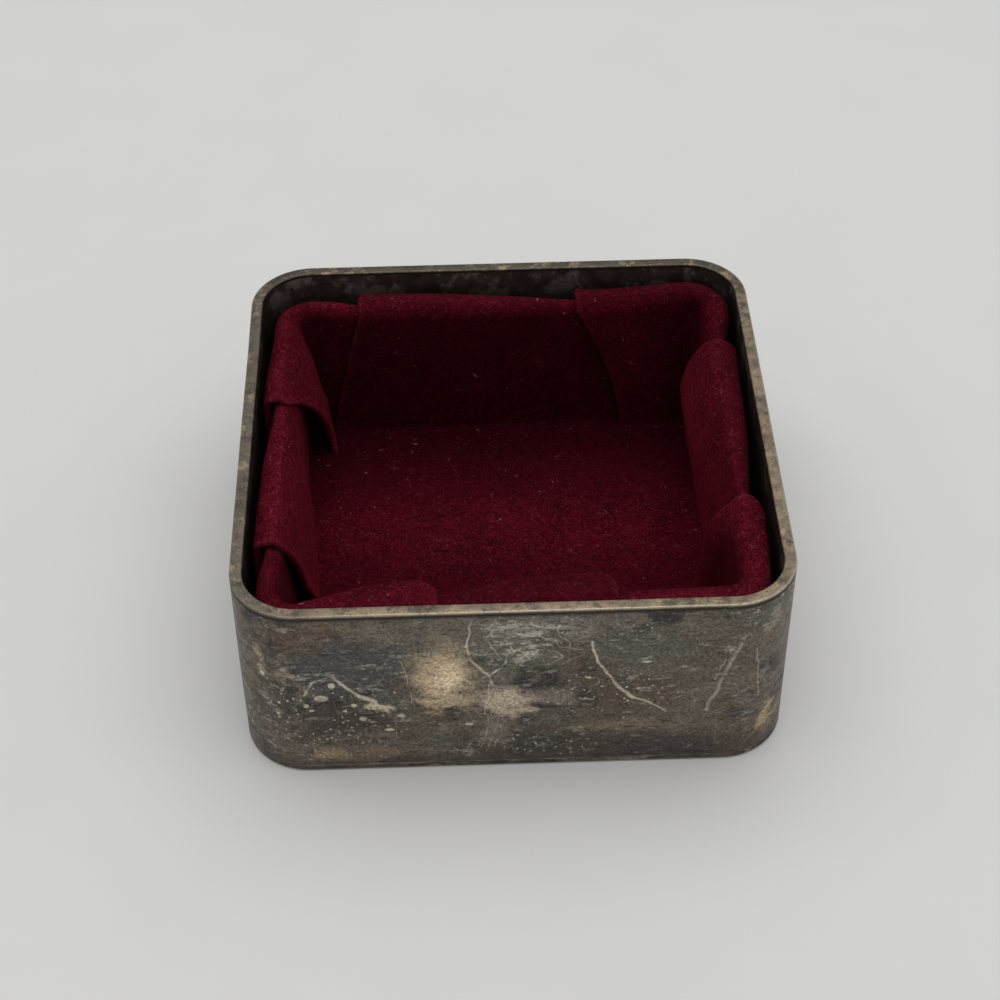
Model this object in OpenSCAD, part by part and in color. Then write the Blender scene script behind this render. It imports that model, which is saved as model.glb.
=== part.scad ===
// Small square metal stamp box, open at the top, with a loose velvet lining that lifts out.
// Millimetres. The origin is the middle of the underside, +Z is up and the front faces -Y.
// The lining's walls are eight soft folds of velvet over a card strip. Going round
// anticlockwise from above, the end of each fold laps over the start of the next one.

/* [Case] */
// Outside width and depth of the square case
case_w = 54; // [46:0.5:70]
// Outside height of the case, rim included
case_h = 22; // [19:0.5:30]
// Radius of the case's four upright corners
corner_r = 6.5; // [6:0.1:9]
// Thickness of the side band
wall_t = 0.9; // [0.5:0.05:1.1]
// Thickness of the base plate
base_t = 0.7; // [0.5:0.05:1.2]
// Radius of the base plate's lower edge
base_edge_r = 0.4; // [0.1:0.05:0.5]
// Width of the rim wire's flat top
rim_w = 1.2; // [1.15:0.05:1.6]
// Height of the flat rim wire
rim_h = 0.45; // [0.35:0.05:1.5]
// Chamfer along the rim wire's outer top edge
rim_chamfer = 0.15; // [0.05:0.01:0.3]
// Chamfer on the side band's two outer edges, which shows as a fine seam line
seam_chamfer = 0.1; // [0.05:0.01:0.2]

/* [Lining] */
// Space between the rim wire and the lining, all the way round
rim_clearance = 0.6; // [0.3:0.05:0.9]
// Space between the base plate and the lining's underside
floor_clearance = 0.15; // [0.1:0.05:0.5]
// How far the lining's highest fold lies below the top of the rim
rim_drop = 1.8; // [0.8:0.1:4]
// Thickness of the card
card_t = 0.6; // [0.4:0.05:0.7]
// Thickness of the velvet with its backing
velvet_t = 0.7; // [0.5:0.05:0.75]
// Thickness of the wadding in the floor pad
wadding_t = 0.8; // [0.4:0.1:2]
// Thickness of the velvet turned under the floor pad
hem_t = 0.3; // [0.2:0.05:0.5]
// Width of the velvet turned under the floor pad
hem_w = 6; // [3:0.5:10]
// Width of the glue line between velvet and card
glue_t = 0.05; // [0.04:0.01:0.1]

/* [Folds] */
// How far each fold laps over the next one
lap_depth = 4; // [2.5:0.25:5]
// Space between two folds where one laps over the other
lap_gap = 0.1; // [0.05:0.05:0.2]
// How much higher than its own thickness the cloth stands where it laps
lap_rise = 0.2; // [0.1:0.1:1.2]
// Height of the rounding along the top of a fold
fold_round = 1.2; // [1:0.05:1.6]
// How far the velvet is turned down behind the card
turn_down = 5; // [3:0.5:8]

/* [Hidden] */

$fn = 64;
metal_colour = [0.56, 0.53, 0.46];
card_colour = [0.72, 0.66, 0.54];
wadding_colour = [0.88, 0.86, 0.80];
velvet_colour = [0.36, 0.03, 0.11];
pleat_colour = [0.42, 0.05, 0.14];

// Each lap is where a fold ends on top of the next one. Its place is measured along the wall
// from where the nearer corner's arc begins, at the top and at the floor. The bend is 1 for a
// straight edge, and more where the edge falls back early. The puff is how far the fold swells
// inwards at the top, and the lean how far its foot stands out from its top.
// The walls' order is back, left, front, right.
// Laps of the wall folds: [top place, floor place, bend, puff, lean]
WALL_LAPS = [
    [4.9, 1.3, 1, 0.1, 0.3],
    [6.5, 14, 1, 0.3, 1.1],
    [10.5, 10.5, 1, 1.8, 0.2],
    [5.8, 1, 2, 0.3, 1.0]
];
// Laps of the corner pleats, on the same walls: [top place, floor place, bend, puff, lean]
CORNER_LAPS = [
    [12, 6.9, 1.6, 0.1, 0.3],
    [13.8, 5.5, 2, 0.3, 2.9],
    [13.1, 13.1, 1, 1.8, 0.2],
    [11, 16, 2, 0.4, 1.4]
];
// Room left at the tucked end of a fold, inside the fold that laps over it
tuck_room = 0.4;
// Length over which the hollow of a lap closes
hollow_step = 0.4;
// Share of the height of a lap that each pleat has at its corner
CORNER_LIFTS = [1.5, 0.4, 0.4, 0.6];
// Share of a pleat's puff and lean that is left at its corner
corner_bulge = 0.15;
// Share of the covering fold's puff that a fold has where it is tucked under it
tuck_puff = 0.8;
// Smallest radius that a pleat's inner face closes to in its corner
least_r = 0.2;
// Number of steps round a corner, over the top of a fold and down its face
corner_steps = 5;
top_steps = 6;
face_steps = 3;

half = case_w / 2;
case_corner = half - corner_r;
rim_inner = half - rim_w;
rim_z = case_h - rim_h;
lining_half = rim_inner - rim_clearance;
lining_r = lining_half - case_corner;
arc_len = lining_r * PI / 2;

layer = velvet_t + lap_gap;
card_out = velvet_t + layer;
card_in = card_out + card_t;
lining_z = base_t + floor_clearance;
floor_half = lining_half - card_in - glue_t;
pad_half = floor_half - velvet_t;
hem_inner = floor_half - hem_w;
pad_z = lining_z + hem_t;
wadding_z = pad_z + card_t;
floor_top = wadding_z + wadding_t + velvet_t;
low_top = case_h - rim_drop - layer - lap_rise;
card_top = low_top - velvet_t;
face_top = low_top - fold_round;
turn_z = card_top - turn_down;

// Shared shapes

function mix(a, b, t) = a + (b - a) * t;

// Rounded square plate of half width h, with its corners centred where the case's are
module plate(h, z0, z1) {
    r = h - case_corner;
    translate([0, 0, z0]) linear_extrude(z1 - z0) union() {
        square([2 * h, 2 * case_corner], center = true);
        square([2 * case_corner, 2 * h], center = true);
        for (x = [-1, 1], y = [-1, 1]) translate([x, y] * case_corner) circle(r);
    }
}

// Carries an outline of [distance from the middle, height] round the rounded square
module carried_round(outline) {
    for (turn = [0:90:270]) rotate(turn) {
        translate([-case_corner, 0, 0]) rotate([90, 0, 90])
            linear_extrude(2 * case_corner) polygon(outline);
        translate([case_corner, case_corner, 0]) rotate_extrude(angle = 90)
            translate([-case_corner, 0]) polygon(outline);
    }
}

// Case

module side_band() {
    inner = half - wall_t;
    c = seam_chamfer;
    color(metal_colour) carried_round([
        [inner, base_t], [half - c, base_t], [half, base_t + c],
        [half, rim_z - c], [half - c, rim_z], [inner, rim_z]
    ]);
}

module base_plate() {
    r = base_edge_r;
    edge = [for (a = [0:30:90]) [half - r * (1 - sin(a)), r * (1 - cos(a))]];
    color(metal_colour) union() {
        carried_round(concat([[case_corner, base_t], [case_corner, 0]], edge, [[half, base_t]]));
        translate([-case_corner, -case_corner, 0])
            cube([2 * case_corner, 2 * case_corner, base_t]);
    }
}

module rim_wire() {
    c = rim_chamfer;
    color(metal_colour) carried_round([
        [rim_inner, rim_z], [half, rim_z], [half, case_h - c], [half - c, case_h], [rim_inner, case_h]
    ]);
}

// Card and floor pad of the lining

module wall_card() {
    outer = lining_half - card_out;
    inner = lining_half - card_in;
    color(card_colour) carried_round([
        [inner, lining_z], [outer, lining_z], [outer, card_top], [inner, card_top]
    ]);
}

module floor_card() color(card_colour) plate(pad_half, pad_z, wadding_z);

module floor_wadding() color(wadding_colour) plate(pad_half, wadding_z, floor_top - velvet_t);

module floor_velvet() {
    color(velvet_colour) difference() {
        plate(floor_half, lining_z, floor_top);
        plate(pad_half, pad_z, floor_top - velvet_t);
        translate([-hem_inner, -hem_inner, lining_z - hem_t])
            cube([2 * hem_inner, 2 * hem_inner, 2 * hem_t + card_t / 2]);
    }
}

// Velvet folds. A fold is a thick sheet that runs over the card's top edge. It is drawn in the
// frame of the wall that it laps onto: X along the wall, +Y outwards. A place along it is an X
// on that wall, and goes on round the corner onto the next wall. A depth is measured inwards
// from the lining's outermost face.

// Point at a place along the fold, at a depth
function along(p, depth) =
    let (c = case_corner, a = (p - c) / lining_r * 180 / PI, r = max(least_r, lining_r - depth))
    p <= c ? [p, lining_half - depth]
    : p < c + arc_len ? [c + r * sin(a), c + r * cos(a)]
    : [lining_half - depth, 2 * c + arc_len - p];

// Distance of a lap's edge from the middle of its wall, at a height
function edge_at(lap, z) =
    let (w = min(1, max(0, (low_top - z) / (low_top - floor_top))))
    case_corner - mix(lap[0], lap[1], 1 - pow(1 - w, lap[2]));

// Heights down the inner face of every section, below the rounding of its top
function face_heights() = [for (i = [1:face_steps]) mix(face_top, floor_top, i / face_steps)];

// Half round over the top of a section, between two depths
function over_top(out, inside, top, r) =
    let (middle = (out + inside) / 2, side = (inside - out) / 2)
    [for (i = [0:top_steps])
        let (a = 180 * i / top_steps)
        [middle - side * cos(a), top - r * (1 - sin(a))]];

// Outer surface of a section as [depth, height], from the turned-down hem over the top to the
// floor. Puff and lean are lengths. The cloth parameter moves the surface in by that thickness.
function skin(lift, puff, lean, cloth = 0) =
    let (
        spread = min(1, lift) * layer,
        out = card_out - velvet_t - spread + cloth,
        face = card_in + velvet_t + spread - cloth,
        top = low_top + lift * (layer + lap_rise) - cloth,
        heights = face_heights()
    )
    concat(
        [[out, turn_z]],
        over_top(out, face + puff, top, fold_round - cloth),
        [for (i = [1:face_steps]) [face + mix(puff, lean, i / face_steps), heights[i - 1]]]
    );

// Inner surface of a section where the fold is glued to the card
function glued() =
    let (out = card_out - glue_t, inside = card_in + glue_t, top = card_top + glue_t)
    concat(
        [[out, turn_z]],
        [for (i = [0:top_steps]) [mix(out, inside, i / top_steps), top]],
        [for (z = face_heights()) [inside, z]]
    );

// A station is [share of the start, share of the end, fixed place, lift, share of the fold's own
// puff and lean, share of the covering fold's puff, is hollow]. Its points keep to their own
// places, because the edges of the laps slant on the inner side.
function placed(section, station, start, end) =
    [for (i = [0:len(section) - 1])
        let (
            depth = section[i][0],
            z = section[i][1],
            edge_z = i <= top_steps / 2 ? low_top : z,
            p = station[0] * start(edge_z) + station[1] * end(edge_z) + station[2]
        )
        concat(along(p, depth), [z])];

// Closed solid between rows of outer points and rows of inner points
module thick_sheet(outer, inner) {
    rows = len(outer);
    n = len(outer[0]);
    function o(i, j) = i * n + j;
    function u(i, j) = (rows + i) * n + j;
    function quad(a, b, c, d) = [[a, c, b], [a, d, c]];
    polyhedron(
        points = [for (s = concat(outer, inner)) each s],
        faces = [
            for (i = [0:rows - 2], j = [0:n - 2]) each concat(
                quad(o(i, j), o(i, j + 1), o(i + 1, j + 1), o(i + 1, j)),
                quad(u(i, j), u(i + 1, j), u(i + 1, j + 1), u(i, j + 1))),
            for (i = [0:rows - 2]) each concat(
                quad(o(i, 0), o(i + 1, 0), u(i + 1, 0), u(i, 0)),
                quad(o(i, n - 1), u(i, n - 1), u(i + 1, n - 1), o(i + 1, n - 1))),
            for (j = [0:n - 2]) each concat(
                quad(o(0, j), u(0, j), u(0, j + 1), o(0, j + 1)),
                quad(o(rows - 1, j), o(rows - 1, j + 1), u(rows - 1, j + 1), u(rows - 1, j)))
        ]
    );
}

// One fold, from its own lap's edge to the end that is tucked under the cover's lap
module fold(stations, lap, cover, start, end) {
    function cloth_face(s, cloth) =
        skin(s[3], s[4] * lap[3] + s[5] * cover[3], s[4] * lap[4], cloth);
    thick_sheet(
        [for (s = stations) placed(cloth_face(s, 0), s, start, end)],
        [for (s = stations) placed(s[6] ? cloth_face(s, velvet_t) : glued(), s, start, end)]
    );
}

// Stations where a fold is hollow over the next one, and where it is tucked in itself
LAP_STATIONS = [
    [1, 0, 0, 1, 1, 0, true],
    [1, 0, lap_depth, 1, 1, 0, true],
    [1, 0, lap_depth + hollow_step, 1, 1, 0, false]
];
TUCK_STATIONS = [
    [0, 1, -lap_depth, 0, 0, tuck_puff, false],
    [0, 1, 0, 0, 0, tuck_puff, false]
];
WALL_STATIONS = concat(
    LAP_STATIONS,
    [[0.5, 0.5, 0, 0.75, 0.6, 0.4, false], [0.2, 0.8, -0.8 * lap_depth, 0.4, 0.3, tuck_puff, false]],
    TUCK_STATIONS
);
function pleat_stations(corner_lift) = concat(
    LAP_STATIONS,
    [for (i = [0:corner_steps])
        [0, 0, case_corner + arc_len * i / corner_steps, corner_lift, corner_bulge, corner_bulge, false]],
    [[0, 0.5, (case_corner + arc_len - lap_depth) / 2, 0.4, 0, tuck_puff, false]],
    TUCK_STATIONS
);
tuck_len = lap_depth - tuck_room;

// Fold along wall number w, which laps over the pleat at the wall's left-hand end
module wall_fold(w) {
    color(velvet_colour) rotate(90 * w) fold(
        WALL_STATIONS, WALL_LAPS[w], CORNER_LAPS[w],
        function(z) -edge_at(WALL_LAPS[w], z),
        function(z) edge_at(CORNER_LAPS[w], z) + tuck_len
    );
}

// Pleat round a corner, from its lap on wall number w to where the wall before it covers it
module corner_pleat(w) {
    before = WALL_LAPS[(w + 3) % 4];
    color(pleat_colour) rotate(90 * w) fold(
        pleat_stations(CORNER_LIFTS[w]), CORNER_LAPS[w], before,
        function(z) edge_at(CORNER_LAPS[w], z),
        function(z) 2 * case_corner + arc_len - edge_at(before, z) + tuck_len
    );
}

module back_velvet() wall_fold(0);
module left_velvet() wall_fold(1);
module front_velvet() wall_fold(2);
module right_velvet() wall_fold(3);
module back_right_pleat() corner_pleat(0);
module back_left_pleat() corner_pleat(1);
module front_left_pleat() corner_pleat(2);
module front_right_pleat() corner_pleat(3);

side_band();
base_plate();
rim_wire();
wall_card();
floor_card();
floor_wadding();
floor_velvet();
back_velvet();
left_velvet();
front_velvet();
right_velvet();
back_left_pleat();
front_left_pleat();
front_right_pleat();
back_right_pleat();
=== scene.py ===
import math

import bmesh
import bpy
import numpy as np
from bpy.props import FloatProperty, FloatVectorProperty, IntProperty, PointerProperty
from bpy.types import Operator, Panel, PropertyGroup
from mathutils import Matrix, Vector, noise


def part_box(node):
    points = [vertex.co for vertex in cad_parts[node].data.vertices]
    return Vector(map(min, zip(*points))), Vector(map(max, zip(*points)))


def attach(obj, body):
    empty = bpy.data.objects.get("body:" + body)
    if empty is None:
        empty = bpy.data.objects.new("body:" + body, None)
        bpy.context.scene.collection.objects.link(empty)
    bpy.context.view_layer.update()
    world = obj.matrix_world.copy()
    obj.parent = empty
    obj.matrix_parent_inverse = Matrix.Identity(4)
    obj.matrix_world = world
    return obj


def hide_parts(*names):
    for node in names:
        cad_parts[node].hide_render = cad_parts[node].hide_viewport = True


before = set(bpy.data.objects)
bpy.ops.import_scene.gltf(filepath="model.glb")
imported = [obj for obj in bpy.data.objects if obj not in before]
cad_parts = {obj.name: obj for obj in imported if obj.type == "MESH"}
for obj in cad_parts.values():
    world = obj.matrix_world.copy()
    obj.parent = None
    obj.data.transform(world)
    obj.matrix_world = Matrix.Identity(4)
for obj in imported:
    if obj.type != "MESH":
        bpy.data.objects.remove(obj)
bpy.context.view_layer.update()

bl_info = {
    "name": "Stamp box",
    "version": (1, 0, 0),
    "blender": (4, 5, 0),
    "location": "3D View > Sidebar > Stamp box",
    "description": "A small square metal stamp box with a pleated velvet lining",
    "category": "Add Mesh",
}

MM = 0.001
noise.seed_set(5)  # noise_vector would otherwise take its offsets from the clock

# Places that the frame gives, in millimetres
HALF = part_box("side_band")[1].x / MM
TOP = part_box("rim_wire")[1].z / MM
RIM_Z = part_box("rim_wire")[0].z / MM
BASE_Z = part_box("base_plate")[1].z / MM
LINING_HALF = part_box("back_velvet")[1].y / MM
LINING_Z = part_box("floor_velvet")[0].z / MM
FLOOR_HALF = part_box("floor_velvet")[1].x / MM
FLOOR_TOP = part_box("floor_velvet")[1].z / MM
CARD_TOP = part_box("wall_card")[1].z / MM
CARD_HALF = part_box("wall_card")[1].x / MM
PAD_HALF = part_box("floor_card")[1].x / MM
PAD_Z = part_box("floor_card")[1].z / MM
TURN_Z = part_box("back_velvet")[0].z / MM


# ---------------------------------------------------------------- settings

class STAMPBOX_case_settings(PropertyGroup):
    corner_radius: FloatProperty(
        name="Corner radius", description="Radius of the case's upright corners",
        default=6.5 * MM, unit="LENGTH")
    wall: FloatProperty(
        name="Wall", description="Thickness of the side band", default=0.9 * MM, unit="LENGTH")
    rim_width: FloatProperty(
        name="Rim width", description="Width of the flat rim wire", default=1.2 * MM, unit="LENGTH")
    rim_bevel: FloatProperty(
        name="Rim bevel", description="Bevel of the rim's outer top edge",
        default=0.15 * MM, unit="LENGTH")
    seam_bevel: FloatProperty(
        name="Seam bevel", description="Bevel on both sides of the soldered seams",
        default=0.09 * MM, unit="LENGTH")
    base_bevel: FloatProperty(
        name="Base bevel", description="Radius of the base plate's lower edge",
        default=0.4 * MM, unit="LENGTH")
    dents: FloatProperty(
        name="Dents", description="How far the old walls wander from flat",
        default=0.045 * MM, unit="LENGTH")
    silver: FloatVectorProperty(
        name="Worn silver", description="Colour of bright worn plate",
        default=(0.47, 0.41, 0.31), subtype="COLOR", min=0, max=1)
    tarnish: FloatVectorProperty(
        name="Tarnish", description="Colour of the grey-brown tarnish",
        default=(0.175, 0.146, 0.114), subtype="COLOR", min=0, max=1)


class STAMPBOX_velvet_settings(PropertyGroup):
    cloth: FloatProperty(
        name="Cloth", description="Thickness of the velvet", default=0.62 * MM, unit="LENGTH")
    bead: FloatProperty(
        name="Folded edge", description="Extra thickness where the cloth is folded back at a lap",
        default=0.13 * MM, unit="LENGTH")
    waves: FloatProperty(
        name="Waves", description="How far the cloth wanders from an even fold",
        default=0.16 * MM, unit="LENGTH")
    rows: IntProperty(
        name="Rows", description="Rows of faces between two stations of a fold", default=9, min=3)
    colour: FloatVectorProperty(
        name="Velvet", description="Colour of the lit pile", default=(0.106, 0.0038, 0.0125),
        subtype="COLOR", min=0, max=1)
    shade: FloatVectorProperty(
        name="Pile shade", description="Colour of the pile seen end on",
        default=(0.027, 0.0009, 0.0036), subtype="COLOR", min=0, max=1)
    lint: FloatVectorProperty(
        name="Lint", description="Colour of dust and lint in the pile", default=(0.42, 0.17, 0.18),
        subtype="COLOR", min=0, max=1)


class STAMPBOX_stage_settings(PropertyGroup):
    floor: FloatVectorProperty(
        name="Floor", description="Colour of the pale board", default=(0.68, 0.682, 0.676),
        subtype="COLOR", min=0, max=1)
    lamp: FloatProperty(
        name="Lamp", description="Power of the large soft lamp overhead", default=3.0,
        unit="POWER")
    sky: FloatProperty(
        name="Room light", description="Strength of the even light of the room", default=0.48)
    lens: FloatProperty(
        name="Lens", description="Focal length of the camera", default=76.31, unit="CAMERA")


# ---------------------------------------------------------------- modelling helpers

def start_clean():
    """Leaves edit mode and deselects everything."""
    if bpy.context.object and bpy.context.object.mode != "OBJECT":
        bpy.ops.object.mode_set(mode="OBJECT")
    bpy.ops.object.select_all(action="DESELECT")


def make_active(obj):
    start_clean()
    obj.select_set(True)
    bpy.context.view_layer.objects.active = obj


def edit(obj, select_mode="EDGE"):
    """Opens a piece in edit mode with nothing selected and returns its bmesh."""
    make_active(obj)
    bpy.ops.object.mode_set(mode="EDIT")
    bpy.ops.mesh.select_mode(type=select_mode)
    bpy.ops.mesh.select_all(action="DESELECT")
    return bmesh.from_edit_mesh(obj.data)


def show(obj):
    bmesh.update_edit_mesh(obj.data)


def apply_modifier(obj, kind, **settings):
    make_active(obj)
    modifier = obj.modifiers.new(kind.title(), kind)
    for key, value in settings.items():
        setattr(modifier, key, value)
    bpy.ops.object.modifier_apply(modifier=modifier.name)


def rounded_block(name, half, z0, z1, radius, segments):
    """A square block with rounded upright corners."""
    start_clean()
    bpy.ops.mesh.primitive_cube_add(
        size=1, location=(0, 0, (z0 + z1) / 2), scale=(2 * half, 2 * half, z1 - z0))
    block = bpy.context.object
    block.name = block.data.name = name
    bpy.ops.object.transform_apply(location=True, rotation=True, scale=True)
    mesh = edit(block)
    for edge in mesh.edges:
        a, b = (v.co for v in edge.verts)
        edge.select = abs(a.z - b.z) > (z1 - z0) / 2
    show(block)
    bpy.ops.mesh.bevel(offset=radius, segments=segments, profile=0.5, affect="EDGES")
    bpy.ops.object.mode_set(mode="OBJECT")
    return block


def open_ends(block):
    """Takes the flat top and bottom off a block, which leaves its upright wall."""
    mesh = edit(block, "FACE")
    for face in mesh.faces:
        face.select = abs(face.normal.z) > 0.9
    show(block)
    bpy.ops.mesh.delete(type="FACE")
    bpy.ops.object.mode_set(mode="OBJECT")


def cut_levels(block, levels):
    """Cuts the upright wall at each height, so that it can carry small dents."""
    for z in levels:
        edit(block)
        bpy.ops.mesh.select_all(action="SELECT")
        bpy.ops.mesh.bisect(plane_co=(0, 0, z), plane_no=(0, 0, 1))
        bpy.ops.object.mode_set(mode="OBJECT")


def cut_walls(block, places):
    """Cuts the straight walls across, in both directions."""
    for normal in ((1, 0, 0), (0, 1, 0)):
        for place in places:
            edit(block)
            bpy.ops.mesh.select_all(action="SELECT")
            bpy.ops.mesh.bisect(plane_co=Vector(normal) * place, plane_no=normal)
            bpy.ops.object.mode_set(mode="OBJECT")


def smooth(obj, angle=35):
    make_active(obj)
    bpy.ops.object.shade_smooth_by_angle(angle=math.radians(angle))


def recalculate(obj):
    edit(obj, "FACE")
    bpy.ops.mesh.select_all(action="SELECT")
    bpy.ops.mesh.remove_doubles(threshold=1e-6)
    bpy.ops.mesh.normals_make_consistent(inside=False)
    bpy.ops.object.mode_set(mode="OBJECT")


def face_outwards(wall):
    """Turns the faces of an open upright wall outwards."""
    recalculate(wall)
    if sum(p.normal.xy.dot(p.center.xy) for p in wall.data.polygons) < 0:
        edit(wall, "FACE")
        bpy.ops.mesh.select_all(action="SELECT")
        bpy.ops.mesh.flip_normals()
        bpy.ops.object.mode_set(mode="OBJECT")


def wander(obj, depth, scale, seed, keep_z=True):
    """Moves each point a little by smooth noise, as an old hand-made piece has wandered."""
    for v in obj.data.vertices:
        shift = noise.noise_vector(v.co * scale + Vector((seed, -seed, seed * 0.5))) * depth
        if keep_z:
            shift.z = 0
        v.co += shift
        v.co.x = min(HALF * MM, max(-HALF * MM, v.co.x))
        v.co.y = min(HALF * MM, max(-HALF * MM, v.co.y))
    obj.data.update()


def grid_piece(name, points, faces, uvs=None, marks=None):
    """A soft piece from points in millimetres, with its cloth map and its marks."""
    mesh = bpy.data.meshes.new(name)
    mesh.from_pydata([Vector(p) * MM for p in points], [], faces)
    if uvs is not None:
        layer = mesh.uv_layers.new(name="cloth")
        for loop in mesh.loops:
            layer.data[loop.index].uv = uvs[loop.vertex_index]
    for key, values in (marks or {}).items():
        attribute = mesh.attributes.new(key, "FLOAT", "POINT")
        attribute.data.foreach_set("value", np.asarray(values, np.float32))
    obj = bpy.data.objects.new(name, mesh)
    bpy.context.scene.collection.objects.link(obj)
    mesh.update()
    for polygon in mesh.polygons:
        polygon.use_smooth = True
    return obj


def dress(obj, *materials):
    obj.data.materials.clear()
    for material in materials:
        obj.data.materials.append(material)


# ---------------------------------------------------------------- node helpers

def feed(tree, socket, source):
    if isinstance(source, bpy.types.NodeSocket):
        tree.links.new(source, socket)
    elif source is not None:
        socket.default_value = source


def put(tree, kind, inputs=None, **settings):
    node = tree.nodes.new(kind)
    for key, value in settings.items():
        setattr(node, key, value)
    for key, source in (inputs or {}).items():
        feed(tree, node.inputs[key], source)
    return node


def maths(tree, operation, a, b=0.0, c=0.0):
    node = put(tree, "ShaderNodeMath", {0: a, 1: b}, operation=operation)
    if operation in ("MULTIPLY_ADD", "SMOOTH_MIN", "COMPARE"):
        feed(tree, node.inputs[2], c)
    return node.outputs[0]


def vmaths(tree, operation, a, b=(0, 0, 0)):
    node = put(tree, "ShaderNodeVectorMath", {0: a}, operation=operation)
    if operation == "SCALE":
        feed(tree, node.inputs["Scale"], b)
    elif operation != "LENGTH":
        feed(tree, node.inputs[1], b)
    return node.outputs["Value" if operation in ("LENGTH", "DOT_PRODUCT", "DISTANCE") else "Vector"]


def blend_colour(tree, factor, a, b, how="MIX"):
    node = put(tree, "ShaderNodeMix", data_type="RGBA", blend_type=how, clamp_factor=True)
    feed(tree, node.inputs[0], factor)
    for index, colour in ((6, a), (7, b)):
        if not isinstance(colour, bpy.types.NodeSocket):
            colour = (*colour[:3], 1)
        feed(tree, node.inputs[index], colour)
    return node.outputs[2]


def spread(tree, value, low, high, out_low=0.0, out_high=1.0, smooth_step=True):
    node = put(tree, "ShaderNodeMapRange",
               {"Value": value, "From Min": low, "From Max": high, "To Min": out_low, "To Max": out_high},
               interpolation_type="SMOOTHSTEP" if smooth_step else "LINEAR", clamp=False)
    return node.outputs[0]


def noise_at(tree, vector, scale, detail=3.0, roughness=0.55, distortion=0.0, colour=False):
    node = put(tree, "ShaderNodeTexNoise",
               {"Vector": vector, "Scale": scale, "Detail": detail, "Roughness": roughness,
                "Distortion": distortion})
    return node.outputs["Color" if colour else "Fac"]


def object_places(tree):
    return put(tree, "ShaderNodeTexCoord").outputs["Object"]


def node_group(name, inputs, outputs, build):
    """Makes a node group once. build gets the tree, its inputs by name, and returns its outputs."""
    if name in bpy.data.node_groups:
        return bpy.data.node_groups[name]
    tree = bpy.data.node_groups.new(name, "ShaderNodeTree")
    for key, default in inputs.items():
        kind = "NodeSocketVector" if hasattr(default, "__len__") else "NodeSocketFloat"
        socket = tree.interface.new_socket(name=key, in_out="INPUT", socket_type=kind)
        socket.default_value = default
    for key in outputs:
        tree.interface.new_socket(name=key, in_out="OUTPUT", socket_type="NodeSocketFloat")
    entry = tree.nodes.new("NodeGroupInput")
    leave = tree.nodes.new("NodeGroupOutput")
    results = build(tree, {key: entry.outputs[key] for key in inputs})
    for key, result in zip(outputs, results):
        tree.links.new(result, leave.inputs[key])
    return tree


def use_group(tree, group, output=0, **inputs):
    node = tree.nodes.new("ShaderNodeGroup")
    node.node_tree = group
    for key, source in inputs.items():
        feed(tree, node.inputs[key.replace("_", " ")], source)
    return node.outputs[output]


def new_material(name):
    """A material with its Principled shader, and its tree."""
    material = bpy.data.materials.new(name)
    material.use_nodes = True
    tree = material.node_tree
    shader = next(n for n in tree.nodes if n.type == "BSDF_PRINCIPLED")
    return material, tree, shader


# ---------------------------------------------------------------- shared effects

def clouds_group():
    """Broad uneven patches of tarnish or dirt."""
    def build(tree, given):
        warp = noise_at(tree, given["Vector"], maths(tree, "MULTIPLY", given["Scale"], 0.7), 2.0, colour=True)
        moved = vmaths(tree, "ADD", given["Vector"], vmaths(
            tree, "SCALE", vmaths(tree, "SUBTRACT", warp, (0.5, 0.5, 0.5)), given["Warp"]))
        field = noise_at(tree, moved, given["Scale"], 5.0, 0.6)
        return [spread(tree, field, given["Low"], given["High"])]
    return node_group(
        "tarnish clouds", {"Vector": (0, 0, 0), "Scale": 100.0, "Warp": 0.004, "Low": 0.4, "High": 0.6},
        ["Mask"], build)


def patch_group():
    """One worn or stained patch at a place, with a ragged edge."""
    def build(tree, given):
        away = vmaths(tree, "DIVIDE", vmaths(tree, "SUBTRACT", given["Vector"], given["Centre"]), given["Size"])
        reach = maths(tree, "SUBTRACT", 1.0, vmaths(tree, "LENGTH", away))
        ragged = maths(tree, "MULTIPLY", maths(tree, "SUBTRACT", given["Grain"], 0.5), given["Ragged"])
        return [spread(tree, maths(tree, "ADD", reach, ragged), 0.0, given["Soft"])]
    return node_group(
        "worn patch",
        {"Vector": (0, 0, 0), "Centre": (0, 0, 0), "Size": (1, 1, 1), "Grain": 0.5, "Ragged": 1.0, "Soft": 0.4},
        ["Mask"], build)


def scratch_group():
    """A fine scratch through three points."""
    def distance(tree, point, a, b):
        ap, ab = vmaths(tree, "SUBTRACT", point, a), vmaths(tree, "SUBTRACT", b, a)
        share = maths(tree, "DIVIDE", vmaths(tree, "DOT_PRODUCT", ap, ab), vmaths(tree, "DOT_PRODUCT", ab, ab))
        share = maths(tree, "MINIMUM", maths(tree, "MAXIMUM", share, 0.0), 1.0)
        return vmaths(tree, "LENGTH", vmaths(tree, "SUBTRACT", ap, vmaths(tree, "SCALE", ab, share)))

    def build(tree, given):
        near = maths(tree, "MINIMUM",
                     distance(tree, given["Vector"], given["Start"], given["Middle"]),
                     distance(tree, given["Vector"], given["Middle"], given["End"]))
        return [maths(tree, "MULTIPLY",
                      spread(tree, near, given["Width"], maths(tree, "MULTIPLY", given["Width"], 0.25)),
                      given["Strength"])]
    return node_group(
        "scratch",
        {"Vector": (0, 0, 0), "Start": (0, 0, 0), "Middle": (0, 0, 0), "End": (0, 0, 0),
         "Width": 0.0001, "Strength": 1.0},
        ["Mask"], build)


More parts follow.
